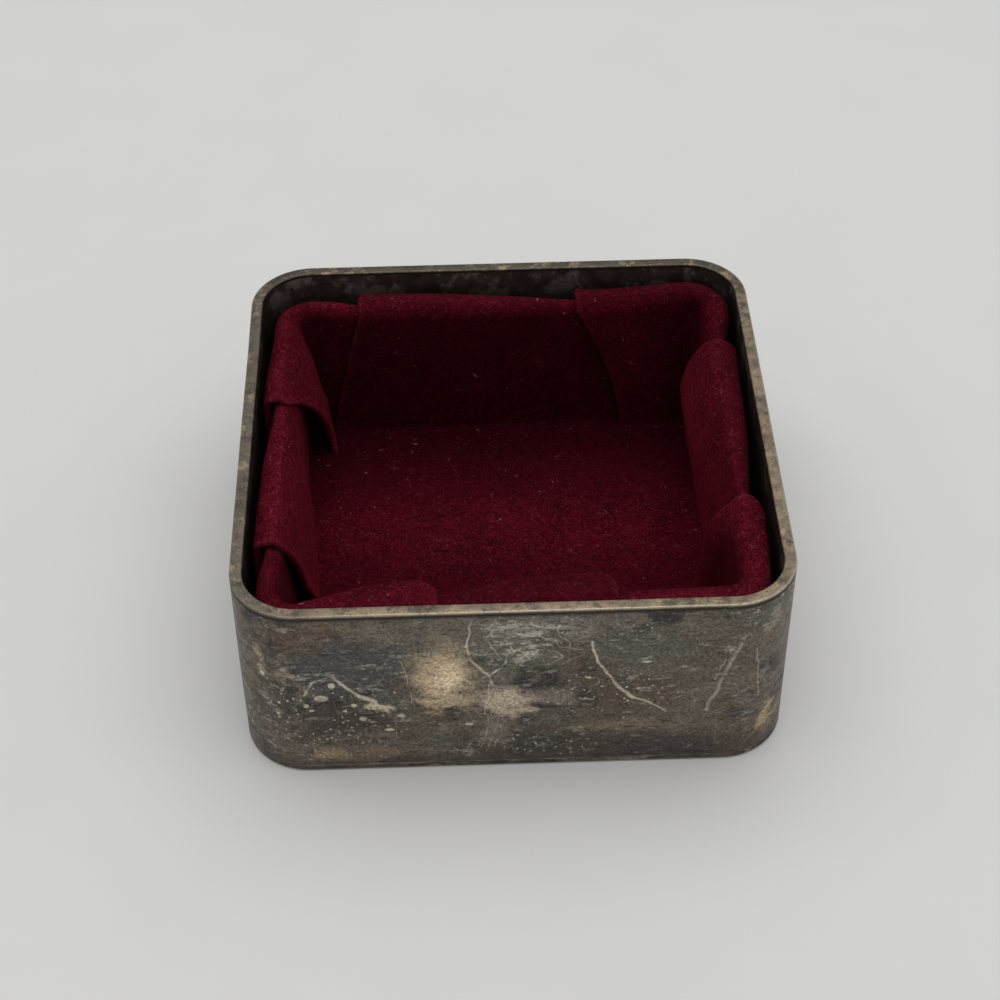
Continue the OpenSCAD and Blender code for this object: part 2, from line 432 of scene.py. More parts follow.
def spots_group():
    """Scattered round spots of uneven size."""
    def build(tree, given):
        cells = put(tree, "ShaderNodeTexVoronoi", {"Vector": given["Vector"], "Scale": given["Scale"]},
                    feature="F1")
        pick = put(tree, "ShaderNodeSeparateColor", {"Color": cells.outputs["Color"]})
        radius = maths(tree, "MULTIPLY", maths(tree, "MULTIPLY_ADD", pick.outputs[1], 0.75, 0.25), given["Radius"])
        inside = spread(tree, cells.outputs["Distance"], radius, maths(tree, "MULTIPLY", radius, 0.6))
        return [maths(tree, "MULTIPLY", inside, maths(tree, "LESS_THAN", pick.outputs[0], given["Share"]))]
    return node_group(
        "spots", {"Vector": (0, 0, 0), "Scale": 1000.0, "Radius": 0.3, "Share": 0.2}, ["Mask"], build)


def brushed_group():
    """Fine level lines that polishing leaves on a wall, finer and coarser ones together."""
    def build(tree, given):
        fine = noise_at(tree, vmaths(tree, "MULTIPLY", given["Vector"], (180, 180, 5200)), 1.0, 3.0, 0.6)
        coarse = noise_at(tree, vmaths(tree, "MULTIPLY", given["Vector"], (60, 60, 1500)), 1.0, 2.0)
        return [maths(tree, "MULTIPLY_ADD", coarse, 0.45, maths(tree, "MULTIPLY", fine, 0.55))]
    return node_group("brushed lines", {"Vector": (0, 0, 0)}, ["Height"], build)


def grain_group():
    """Fine speckle of old plate."""
    def build(tree, given):
        fine = noise_at(tree, given["Vector"], given["Scale"], 4.0, 0.7)
        return [spread(tree, fine, 0.3, 0.7, smooth_step=False)]
    return node_group("plate grain", {"Vector": (0, 0, 0), "Scale": 4200.0}, ["Grain"], build)


def nap_group():
    """Short pile: a fine grain, and wider strokes where it lies one way or another."""
    def build(tree, given):
        fine = noise_at(tree, given["Vector"], 7500.0, 3.0, 0.7)
        tuft = noise_at(tree, given["Vector"], 2100.0, 3.0, 0.6)
        stroke = noise_at(tree, given["Vector"], 240.0, 3.0, 0.55, 0.6)
        shade = maths(tree, "ADD", maths(tree, "MULTIPLY", fine, 0.52), maths(
            tree, "ADD", maths(tree, "MULTIPLY", tuft, 0.33), maths(tree, "MULTIPLY", stroke, 0.15)))
        height = maths(tree, "ADD", maths(tree, "MULTIPLY", fine, 0.6), maths(tree, "MULTIPLY", tuft, 0.4))
        return [shade, height]
    return node_group("velvet nap", {"Vector": (0, 0, 0)}, ["Shade", "Height"], build)


def fibre_group():
    """Short curved fibres of lint: parts of the level lines of a smooth field."""
    def build(tree, given):
        field = noise_at(tree, given["Vector"], given["Scale"], 0.0)
        line = spread(tree, maths(tree, "ABSOLUTE", maths(tree, "SUBTRACT", field, 0.5)),
                      given["Width"], maths(tree, "MULTIPLY", given["Width"], 0.3))
        cells = put(tree, "ShaderNodeTexVoronoi",
                    {"Vector": given["Vector"], "Scale": maths(tree, "MULTIPLY", given["Scale"], 1.3)}, feature="F1")
        pick = put(tree, "ShaderNodeSeparateColor", {"Color": cells.outputs["Color"]})
        return [maths(tree, "MULTIPLY", line, maths(tree, "LESS_THAN", pick.outputs[2], given["Share"]))]
    return node_group(
        "lint fibres", {"Vector": (0, 0, 0), "Scale": 600.0, "Width": 0.02, "Share": 0.06}, ["Mask"], build)


# ---------------------------------------------------------------- marks on the case's front wall
# Places are [across, height] in millimetres on the front wall.

# Worn and stained patches: centre, half size, colour, strength, softness
FRONT_PATCHES = [
    ((-20.0, 19.0), (5.5, 3.2), (0.150, 0.105, 0.074), 0.75, 0.7),
    ((-15.5, 14.6), (7.4, 5.3), (0.092, 0.087, 0.084), 0.92, 0.5),
    ((-13.5, 19.8), (4.6, 1.6), (0.210, 0.180, 0.135), 0.7, 0.8),
    ((-1.0, 16.0), (6.4, 4.6), (0.155, 0.150, 0.122), 0.8, 0.7),
    ((12.5, 16.2), (7.4, 4.2), (0.122, 0.121, 0.098), 0.8, 0.7),
    ((20.5, 15.5), (3.8, 5.4), (0.135, 0.108, 0.086), 0.75, 0.8),
    ((10.5, 8.6), (7.4, 4.6), (0.122, 0.091, 0.067), 0.85, 0.8),
    ((-17.0, 7.4), (6.8, 4.4), (0.082, 0.068, 0.056), 0.85, 0.6),
    ((2.0, 3.2), (13.0, 2.8), (0.066, 0.064, 0.058), 0.8, 0.8),
    ((15.5, 2.4), (9.5, 2.6), (0.082, 0.064, 0.068), 0.85, 0.8),
    ((-23.6, 8.0), (3.4, 6.4), (0.120, 0.096, 0.084), 0.75, 0.8),
    ((-7.0, 13.0), (4.0, 6.6), (0.54, 0.42, 0.275), 0.95, 0.7),
    ((-6.4, 12.0), (2.5, 4.2), (0.95, 0.755, 0.52), 0.95, 0.9),
    ((-5.2, 9.6), (3.6, 2.8), (0.44, 0.355, 0.240), 0.8, 0.9),
    ((-0.9, 9.6), (3.2, 2.7), (0.60, 0.50, 0.375), 0.92, 0.6),
    ((-1.8, 5.2), (2.4, 3.6), (0.30, 0.255, 0.200), 0.6, 0.9),
    ((4.0, 10.2), (4.2, 1.8), (0.32, 0.280, 0.220), 0.6, 0.9),
    ((2.6, 19.6), (9.5, 2.0), (0.31, 0.285, 0.230), 0.7, 0.9),
    ((-18.4, 2.5), (2.4, 1.5), (0.34, 0.255, 0.155), 0.9, 0.6),
    ((-13.0, 2.7), (3.6, 1.1), (0.27, 0.195, 0.120), 0.6, 0.8),
    ((-22.1, 14.4), (0.9, 1.0), (0.38, 0.280, 0.200), 0.75, 0.8),
    ((-24.4, 15.6), (0.7, 2.2), (0.48, 0.380, 0.250), 0.8, 0.8),
    ((-13.4, 9.3), (1.3, 1.0), (0.66, 0.560, 0.400), 0.95, 0.5),
    ((24.8, 5.0), (1.3, 3.4), (0.52, 0.395, 0.220), 0.8, 0.8),
    ((10.2, 5.6), (6.4, 1.4), (0.29, 0.220, 0.150), 0.6, 0.9),
    ((24.6, 18.5), (1.2, 2.6), (0.40, 0.350, 0.270), 0.6, 0.9),
]

# Round spots: centre, half size
FRONT_SPOTS = [
    ((-17.7, 12.5), (0.42, 0.46)), ((-18.8, 10.7), (0.82, 0.52)), ((-20.3, 9.7), (0.32, 0.36)),
    ((-15.7, 9.6), (0.34, 0.28)), ((-14.9, 7.6), (0.45, 0.42)), ((-12.4, 5.9), (0.55, 0.26)),
    ((-24.3, 13.3), (0.27, 0.33)), ((-19.8, 9.0), (0.30, 0.20)), ((-16.6, 8.8), (0.24, 0.18)),
    ((-11.2, 7.9), (0.5, 0.3)), ((-4.6, 6.4), (0.5, 0.22)), ((7.0, 12.6), (0.28, 0.2)),
    ((12.5, 14.6), (0.6, 0.15)), ((-4.7, 17.4), (0.25, 0.2)),
]

# Scratches: three points, half width, strength
FRONT_SCRATCHES = [
    ((-4.2, 20.8), (-4.7, 17.8), (-4.4, 15.3), 0.16, 0.9),
    ((-4.4, 15.3), (-2.8, 13.6), (-2.2, 11.9), 0.20, 1.0),
    ((-4.0, 12.4), (-2.4, 13.5), (-1.0, 14.7), 0.17, 1.0),
    ((-1.0, 14.7), (-0.7, 16.4), (0.3, 16.7), 0.15, 0.9),
    ((0.3, 16.7), (0.9, 16.2), (1.4, 15.4), 0.14, 0.7),
    ((-3.0, 18.9), (-2.2, 17.0), (-1.3, 15.3), 0.10, 0.55),
    ((-2.6, 12.0), (-2.8, 9.8), (-3.2, 7.7), 0.14, 0.7),
    ((7.2, 17.6), (7.8, 14.9), (9.4, 11.8), 0.20, 0.95),
    ((9.4, 11.8), (10.4, 10.5), (11.3, 9.6), 0.30, 1.0),
    ((11.3, 9.6), (13.1, 8.8), (14.6, 7.4), 0.22, 0.8),
    ((21.4, 16.7), (20.3, 13.3), (18.5, 7.5), 0.30, 0.42),
    ((20.1, 14.6), (19.5, 13.2), (19.2, 11.8), 0.14, 0.4),
    ((23.0, 15.4), (23.4, 12.0), (23.6, 8.2), 0.12, 0.4),
    ((-20.4, 11.2), (-19.6, 13.0), (-17.6, 13.7), 0.20, 0.8),
    ((-17.6, 13.7), (-16.1, 12.0), (-15.1, 10.9), 0.28, 0.95),
    ((-15.1, 10.9), (-13.5, 10.1), (-12.5, 8.4), 0.30, 0.9),
    ((-10.8, 15.7), (-10.3, 12.0), (-10.0, 9.1), 0.10, 0.55),
    ((-2.5, 7.9), (-2.9, 5.2), (-3.5, 2.7), 0.09, 0.55),
    ((-1.4, 8.2), (-2.1, 5.2), (-2.9, 2.4), 0.09, 0.5),
    ((-0.9, 8.4), (-1.6, 5.4), (-2.2, 2.7), 0.09, 0.5),
    ((1.7, 21.2), (1.5, 20.2), (2.6, 19.6), 0.20, 0.6),
    ((2.6, 19.6), (3.6, 19.5), (4.6, 19.7), 0.16, 0.5),
    ((-22.4, 13.2), (-22.0, 12.4), (-22.5, 11.6), 0.13, 0.6),
]

# Scratches on the other walls, as the same kind of marks: wall turn, three points, half width, strength
OTHER_SCRATCHES = [
    (90, (-12.0, 17.5), (-9.0, 13.0), (-8.4, 8.0), 0.16, 0.7),
    (90, (6.0, 6.0), (9.5, 8.2), (14.0, 8.8), 0.20, 0.7),
    (90, (3.0, 19.0), (5.0, 18.2), (6.2, 16.0), 0.12, 0.5),
    (180, (-14.0, 15.0), (-8.0, 12.4), (-5.5, 7.0), 0.18, 0.7),
    (180, (4.0, 18.0), (6.5, 13.5), (12.0, 12.0), 0.14, 0.6),
    (180, (14.0, 5.0), (16.0, 8.5), (15.4, 12.0), 0.16, 0.6),
    (270, (-16.0, 8.0), (-11.0, 9.2), (-7.5, 13.5), 0.18, 0.7),
    (270, (2.0, 16.5), (3.0, 11.0), (8.0, 7.5), 0.15, 0.6),
    (270, (11.0, 18.5), (12.2, 15.5), (15.5, 14.0), 0.12, 0.5),
]


def wall_plane(tree, places, turn):
    """Flattens places to [across, height] on one wall and gives a mask of that wall."""
    split = put(tree, "ShaderNodeSeparateXYZ", {"Vector": places})
    x, y, z = split.outputs
    across, out = {0: (x, y), 90: (y, x), 180: (x, y), 270: (y, x)}[turn]
    sign = {0: -1.0, 90: 1.0, 180: 1.0, 270: -1.0}[turn]
    flat = put(tree, "ShaderNodeCombineXYZ", {"X": across, "Y": z}).outputs[0]
    mask = spread(tree, maths(tree, "MULTIPLY", out, sign), 0.0228, 0.0245)
    return flat, mask


def at_mm(pair):
    return (pair[0] * MM, pair[1] * MM, 0.0)


def channels(tree, colour):
    return list(put(tree, "ShaderNodeSeparateColor", {"Color": colour}).outputs)[:3]


def moved_by(tree, vector, colour, amount):
    """Moves places by a noise colour, by up to about half the amount each way."""
    return vmaths(tree, "ADD", vector, vmaths(
        tree, "SCALE", vmaths(tree, "SUBTRACT", colour, (0.5, 0.5, 0.5)), amount))


def side_metal():
    """Tarnished silver plate of the outer walls."""
    settings = bpy.context.scene.stamp_box_case
    material, tree, shader = new_material("tarnished_silver_wall")
    places = object_places(tree)
    patch, scratch, spots = patch_group(), scratch_group(), spots_group()
    streaked = vmaths(tree, "MULTIPLY", places, (1.0, 1.0, 1.6))
    brushed = vmaths(tree, "MULTIPLY", places, (1.0, 1.0, 3.6))
    broad = noise_at(tree, streaked, 95.0, 3.0, 0.5, 0.5, colour=True)
    mottle = noise_at(tree, moved_by(tree, streaked, broad, 0.004), 330.0, 8.0, 0.66, colour=True)
    streak = noise_at(tree, brushed, 480.0, 8.0, 0.72, colour=True)
    fine = noise_at(tree, places, 3300.0, 3.0, 0.7, colour=True)
    broad_a, broad_b, broad_c = channels(tree, broad)
    mottle_a, mottle_b, mottle_c = channels(tree, mottle)
    streak_a, streak_b, streak_c = channels(tree, streak)
    fine_a, fine_b, fine_c = channels(tree, fine)
    flat, front = wall_plane(tree, places, 0)

    def mixed(a, b, share):
        return maths(tree, "MULTIPLY_ADD", b, share, a)

    # Ground: warm grey with browner, greener and darker clouds
    colour = blend_colour(tree, spread(tree, mixed(broad_a, mottle_a, 0.7), 0.72, 0.98),
                          settings.tarnish, (0.120, 0.092, 0.070))
    colour = blend_colour(tree, spread(tree, mixed(broad_b, mottle_b, 0.7), 0.84, 1.02),
                          colour, (0.128, 0.126, 0.102))
    colour = blend_colour(tree, spread(tree, mixed(broad_c, mottle_c, 0.9), 1.00, 1.16),
                          colour, (0.052, 0.047, 0.046))
    gold = maths(tree, "MULTIPLY", maths(tree, "SUBTRACT", 1.0, front),
                 spread(tree, mixed(broad_a, mottle_c, 0.8), 1.02, 1.18))
    colour = blend_colour(tree, maths(tree, "MULTIPLY", gold, 0.8), colour, (0.42, 0.33, 0.20))

    # The front wall's own patches
    ragged = moved_by(tree, flat, mottle, 0.0042)
    for centre, size, tone, strength, soft in FRONT_PATCHES:
        mask = use_group(tree, patch, Vector=ragged, Centre=at_mm(centre),
                         Size=(size[0] * MM, size[1] * MM, 1.0), Grain=mottle_b, Ragged=1.9, Soft=soft)
        colour = blend_colour(tree, maths(tree, "MULTIPLY", maths(tree, "MULTIPLY", mask, front), strength),
                              colour, tone)

    # Polishing streaks, pale and dark, and dry pale scuffs that lie thickest high on the front
    colour = blend_colour(tree, spread(tree, mixed(streak_a, mottle_b, 0.5), 0.78, 1.0, 0.0, 0.42),
                          colour, (0.36, 0.315, 0.245))
    colour = blend_colour(tree, spread(tree, mixed(streak_b, mottle_a, 0.5), 0.72, 0.52, 0.0, 0.75),
                          colour, (0.034, 0.029, 0.026))
    scuffed = maths(tree, "MULTIPLY", front, use_group(
        tree, patch, Vector=ragged, Centre=at_mm((0.8, 17.8)), Size=(6.6 * MM, 4.6 * MM, 1.0),
        Grain=streak_a, Ragged=0.8, Soft=0.8))
    scuffs = spread(tree, maths(tree, "MULTIPLY_ADD", scuffed, 0.15, mixed(streak_c, mottle_c, 0.8)), 0.98, 1.12)
    colour = blend_colour(tree, maths(tree, "MULTIPLY", scuffs, maths(tree, "MULTIPLY_ADD", scuffed, 0.35, 0.5)),
                          colour, (0.52, 0.485, 0.42))
    curls = use_group(tree, fibre_group(), Vector=moved_by(tree, places, mottle, 0.0006),
                      Scale=620.0, Width=0.035, Share=0.6)
    colour = blend_colour(tree, maths(tree, "MULTIPLY", curls, maths(tree, "MULTIPLY_ADD", scuffed, 0.60, 0.12)),
                          colour, (0.56, 0.52, 0.44))
    pits = spread(tree, mixed(fine_b, mottle_b, 0.9), 0.78, 0.66)
    colour = blend_colour(tree, maths(tree, "MULTIPLY", pits, 0.8), colour, (0.020, 0.017, 0.015))

    # Small pale dots, thick in two places on the front and thin elsewhere
    left_dots = use_group(tree, patch, Vector=ragged, Centre=at_mm((-18.2, 7.2)),
                          Size=(9.5 * MM, 7.0 * MM, 1.0), Grain=mottle_a, Ragged=1.0, Soft=0.6)
    right_dots = use_group(tree, patch, Vector=ragged, Centre=at_mm((8.6, 10.0)),
                           Size=(7.5 * MM, 4.8 * MM, 1.0), Grain=mottle_a, Ragged=1.0, Soft=0.6)
    low_dots = use_group(tree, patch, Vector=ragged, Centre=at_mm((1.5, 3.0)),
                         Size=(9.0 * MM, 2.6 * MM, 1.0), Grain=mottle_a, Ragged=1.0, Soft=0.6)
    thick = maths(tree, "MAXIMUM", maths(tree, "MAXIMUM", left_dots, right_dots), low_dots)
    thick = maths(tree, "MULTIPLY", spread(tree, thick, 0.05, 0.55), front)
    thick = maths(tree, "MAXIMUM", thick, spread(tree, mixed(broad_b, mottle_a, 0.5), 0.80, 0.95))
    dotted = moved_by(tree, places, fine, 0.0003)
    small = use_group(tree, spots, Vector=dotted, Scale=1250.0, Radius=0.36, Share=0.50)
    tiny = use_group(tree, spots, Vector=dotted, Scale=2300.0, Radius=0.40, Share=0.42)
    larger = use_group(tree, spots, Vector=dotted, Scale=760.0, Radius=0.24, Share=0.22)
    dots = maths(tree, "MAXIMUM", maths(tree, "MAXIMUM", small, larger), maths(tree, "MULTIPLY", tiny, 0.65))
    dots = maths(tree, "MULTIPLY", dots, maths(tree, "MULTIPLY_ADD", thick, 0.90, 0.08))
    colour = blend_colour(tree, dots, colour, (0.60, 0.54, 0.43))
    colour = blend_colour(tree, 1.0, colour, spread(tree, fine_a, 0.28, 0.72, 0.38, 1.62, False), "MULTIPLY")

    # Round pale spots and scratches
    bright = None
    rounder = moved_by(tree, flat, fine, 0.0003)
    for centre, size in FRONT_SPOTS:
        mask = use_group(tree, patch, Vector=rounder, Centre=at_mm(centre),
                         Size=(size[0] * MM, size[1] * MM, 1.0), Grain=mottle_a, Ragged=0.5, Soft=0.35)
        bright = mask if bright is None else maths(tree, "MAXIMUM", bright, mask)
    wavy = moved_by(tree, flat, mottle, 0.0011)
    for start, middle, end, width, strength in FRONT_SCRATCHES:
        mask = use_group(tree, scratch, Vector=wavy, Start=at_mm(start), Middle=at_mm(middle),
                         End=at_mm(end), Width=width * MM, Strength=strength)
        bright = maths(tree, "MAXIMUM", bright, mask)
    bright = maths(tree, "MULTIPLY", bright, front)
    for turn in (90, 180, 270):
        flat_there, there = wall_plane(tree, places, turn)
        wavy_there = moved_by(tree, flat_there, mottle, 0.0016)
        for wall, start, middle, end, width, strength in OTHER_SCRATCHES:
            if wall == turn:
                mask = use_group(tree, scratch, Vector=wavy_there, Start=at_mm(start), Middle=at_mm(middle),
                                 End=at_mm(end), Width=width * MM, Strength=strength)
                bright = maths(tree, "MAXIMUM", bright, maths(tree, "MULTIPLY", mask, there))
    bright = maths(tree, "MULTIPLY", bright, spread(tree, mixed(mottle_b, fine_c, 0.5), 0.60, 0.80, 0.45, 1.0))
    colour = blend_colour(tree, maths(tree, "MULTIPLY", bright, 0.95), colour, (0.70, 0.63, 0.50))

    # Darker towards the foot and in a band just under the rim, and a pale hairline at the base seam: rubbed plate with
    # a painted highlight
    height = put(tree, "ShaderNodeSeparateXYZ", {"Vector": places}).outputs["Z"]
    foot = spread(tree, maths(tree, "ADD", height, maths(tree, "MULTIPLY", mottle_a, 0.0020)), 0.0040, 0.0012)
    colour = blend_colour(tree, maths(tree, "MULTIPLY", foot, 0.62), colour, (0.056, 0.045, 0.042))
    seam = spread(tree, height, (RIM_Z - 0.42) * MM, (RIM_Z - 0.02) * MM)
    colour = blend_colour(tree, maths(tree, "MULTIPLY", seam, 0.85), colour, (0.030, 0.025, 0.019))
    hairline_wear_and_highlight = spread(tree, maths(tree, "ABSOLUTE", maths(tree, "SUBTRACT", height, (BASE_Z + 0.10) * MM)),
                      0.00013, 0.00004)
    colour = blend_colour(tree, maths(tree, "MULTIPLY", hairline_wear_and_highlight, spread(tree, mottle_a, 0.42, 0.6, 0.1, 0.6)),
                          colour, settings.silver)

    tree.links.new(colour, shader.inputs["Base Color"])
    polish = maths(tree, "MAXIMUM", bright, spread(tree, mottle_b, 0.5, 0.7, 0.0, 0.5))
    feed(tree, shader.inputs["Metallic"], spread(tree, polish, 0.0, 1.0, 0.74, 0.95))
    feed(tree, shader.inputs["Roughness"], spread(tree, mixed(mottle_c, fine_c, 0.6), 0.5, 1.1, 0.36, 0.62, False))
    relief = noise_at(tree, brushed, 900.0, 6.0, 0.75)
    bump = put(tree, "ShaderNodeBump", {"Strength": 0.45, "Distance": 0.00006, "Height": relief})
    tree.links.new(bump.outputs[0], shader.inputs["Normal"])
    return material


def inside_metal():
    """Blackened inner face of the walls, with a few grey tarnish marks near the rim."""
    material, tree, shader = new_material("blackened_inner_wall")
    places = object_places(tree)
    height = put(tree, "ShaderNodeSeparateXYZ", {"Vector": places}).outputs["Z"]
    marks = use_group(tree, clouds_group(), Vector=vmaths(tree, "MULTIPLY", places, (1, 1, 0.8)),
                      Scale=300.0, Warp=0.003, Low=0.50, High=0.62)
    high = spread(tree, height, 0.0165, 0.0205)
    dots = use_group(tree, spots_group(), Vector=places, Scale=1300.0, Radius=0.34, Share=0.20)
    colour = blend_colour(tree, noise_at(tree, places, 500.0, 4.0), (0.030, 0.022, 0.019), (0.130, 0.096, 0.080))
    colour = blend_colour(tree, maths(tree, "MULTIPLY", marks, maths(tree, "MULTIPLY", high, 0.8)),
                          colour, (0.30, 0.265, 0.235))
    colour = blend_colour(tree, maths(tree, "MULTIPLY", dots, maths(tree, "MULTIPLY", high, 0.5)),
                          colour, (0.26, 0.235, 0.21))
    tree.links.new(colour, shader.inputs["Base Color"])
    shader.inputs["Metallic"].default_value = 0.8
    feed(tree, shader.inputs["Roughness"], spread(tree, noise_at(tree, places, 900.0), 0.3, 0.7, 0.34, 0.55))
    bump = put(tree, "ShaderNodeBump", {"Strength": 0.3, "Distance": 0.00005,
                                        "Height": use_group(tree, brushed_group(), Vector=places)})
    tree.links.new(bump.outputs[0], shader.inputs["Normal"])
    return material


def rim_metal():
    """Champagne-coloured worn plate of the rim, with a rubbed outer edge that carries a painted highlight, and a darker
    band low on the rim by its seam.
    """
    material, tree, shader = new_material("worn_silver_rim")
    places = object_places(tree)
    x, y, z = put(tree, "ShaderNodeSeparateXYZ", {"Vector": places}).outputs
    mottle_a, mottle_b, mottle_c = channels(tree, noise_at(tree, places, 520.0, 7.0, 0.7, 0.3, colour=True))
    grain_a, grain_b, grain_c = channels(tree, noise_at(tree, places, 4200.0, 3.0, 0.75, colour=True))
    colour = blend_colour(tree, spread(tree, mottle_a, 0.36, 0.64), (0.150, 0.128, 0.098), (0.300, 0.232, 0.160))
    # The back and left sides are darker and greyer than the front and right
    colour = blend_colour(tree, maths(tree, "MULTIPLY", spread(tree, x, -0.014, -0.025), 0.75),
                          colour, (0.112, 0.100, 0.084))
    colour = blend_colour(tree, maths(tree, "MULTIPLY", spread(tree, y, 0.020, 0.026), 0.8),
                          colour, (0.066, 0.060, 0.050))
    colour = blend_colour(tree, spread(tree, mottle_b, 0.52, 0.66, 0.0, 0.7), colour, (0.42, 0.325, 0.205))
    colour = blend_colour(tree, spread(tree, mottle_c, 0.50, 0.36, 0.0, 0.75), colour, (0.060, 0.052, 0.040))
    colour = blend_colour(tree, spread(tree, grain_a, 0.56, 0.68, 0.0, 0.7), colour, (0.045, 0.037, 0.028))
    colour = blend_colour(tree, spread(tree, grain_b, 0.60, 0.72, 0.0, 0.6), colour, (0.55, 0.47, 0.35))
    # Bright outer bevel, rubbed plate with a painted highlight, and a darker band below it
    normal = put(tree, "ShaderNodeNewGeometry").outputs["Normal"]
    nx, ny, nz = put(tree, "ShaderNodeSeparateXYZ", {"Vector": normal}).outputs
    outer = spread(tree, maths(tree, "MULTIPLY_ADD", nx, x, maths(tree, "MULTIPLY", ny, y)), 0.001, 0.009)
    edge = spread(tree, maths(tree, "ABSOLUTE", maths(tree, "SUBTRACT", z, (TOP - 0.07) * MM)), 0.00011, 0.00005)
    rubbed = maths(tree, "MULTIPLY", maths(tree, "MULTIPLY", edge, outer), spread(tree, grain_c, 0.35, 0.55, 0.35, 1.0))
    rubbed = maths(tree, "MULTIPLY", rubbed, spread(tree, x, -0.026, -0.004, 0.3, 1.0))
    colour = blend_colour(tree, rubbed, colour, (0.48, 0.42, 0.32))
    dark_below_bevel = spread(tree, z, (TOP - 0.17) * MM, (TOP - 0.26) * MM)
    colour = blend_colour(tree, maths(tree, "MULTIPLY", dark_below_bevel, 0.9), colour, (0.035, 0.029, 0.022))
    tree.links.new(colour, shader.inputs["Base Color"])
    feed(tree, shader.inputs["Metallic"], spread(tree, dark_below_bevel, 0.0, 1.0, 0.9, 0.6))
    feed(tree, shader.inputs["Roughness"], spread(tree, grain_a, 0.3, 0.7, 0.34, 0.58, False))
    bump = put(tree, "ShaderNodeBump", {
        "Strength": 0.55, "Distance": 0.00006, "Height": noise_at(tree, places, 1500.0, 5.0, 0.75)})
    tree.links.new(bump.outputs[0], shader.inputs["Normal"])
    return material


def base_metal():
    """Base plate: dark at its edge, scuffed bright in rings where it has stood."""
    settings = bpy.context.scene.stamp_box_case
    material, tree, shader = new_material("scuffed_silver_base")
    places = object_places(tree)
    x, y, z = put(tree, "ShaderNodeSeparateXYZ", {"Vector": places}).outputs
    grain = use_group(tree, grain_group(), Vector=places, Scale=3200.0)
    dark = use_group(tree, clouds_group(), Vector=places, Scale=130.0, Warp=0.006, Low=0.35, High=0.6)
    colour = blend_colour(tree, dark, (0.15, 0.125, 0.095), (0.055, 0.045, 0.040))
    scuffs = noise_at(tree, vmaths(tree, "MULTIPLY", places, (420, 2600, 900)), 1.0, 4.0, 0.65)
    colour = blend_colour(tree, spread(tree, scuffs, 0.52, 0.7, 0.0, 0.6), colour, settings.silver)
    reach = maths(tree, "MAXIMUM", maths(tree, "ABSOLUTE", x), maths(tree, "ABSOLUTE", y))
    low = spread(tree, z, 0.00030, 0.00005)
    worn = maths(tree, "MULTIPLY", low, spread(tree, reach, 0.0235, 0.026))
    colour = blend_colour(tree, maths(tree, "MULTIPLY", worn, spread(tree, grain, 0.2, 0.8, 0.2, 0.8)),
                          colour, (0.40, 0.33, 0.22))
    colour = blend_colour(tree, 1.0, colour, spread(tree, grain, 0.0, 1.0, 0.68, 1.32, False), "MULTIPLY")
    tree.links.new(colour, shader.inputs["Base Color"])
    feed(tree, shader.inputs["Metallic"], spread(tree, dark, 0.0, 1.0, 0.9, 0.7))
    feed(tree, shader.inputs["Roughness"], spread(tree, grain, 0.0, 1.0, 0.36, 0.6, False))
    bump = put(tree, "ShaderNodeBump", {"Strength": 0.35, "Distance": 0.00005, "Height": scuffs})
    tree.links.new(bump.outputs[0], shader.inputs["Normal"])
    return material


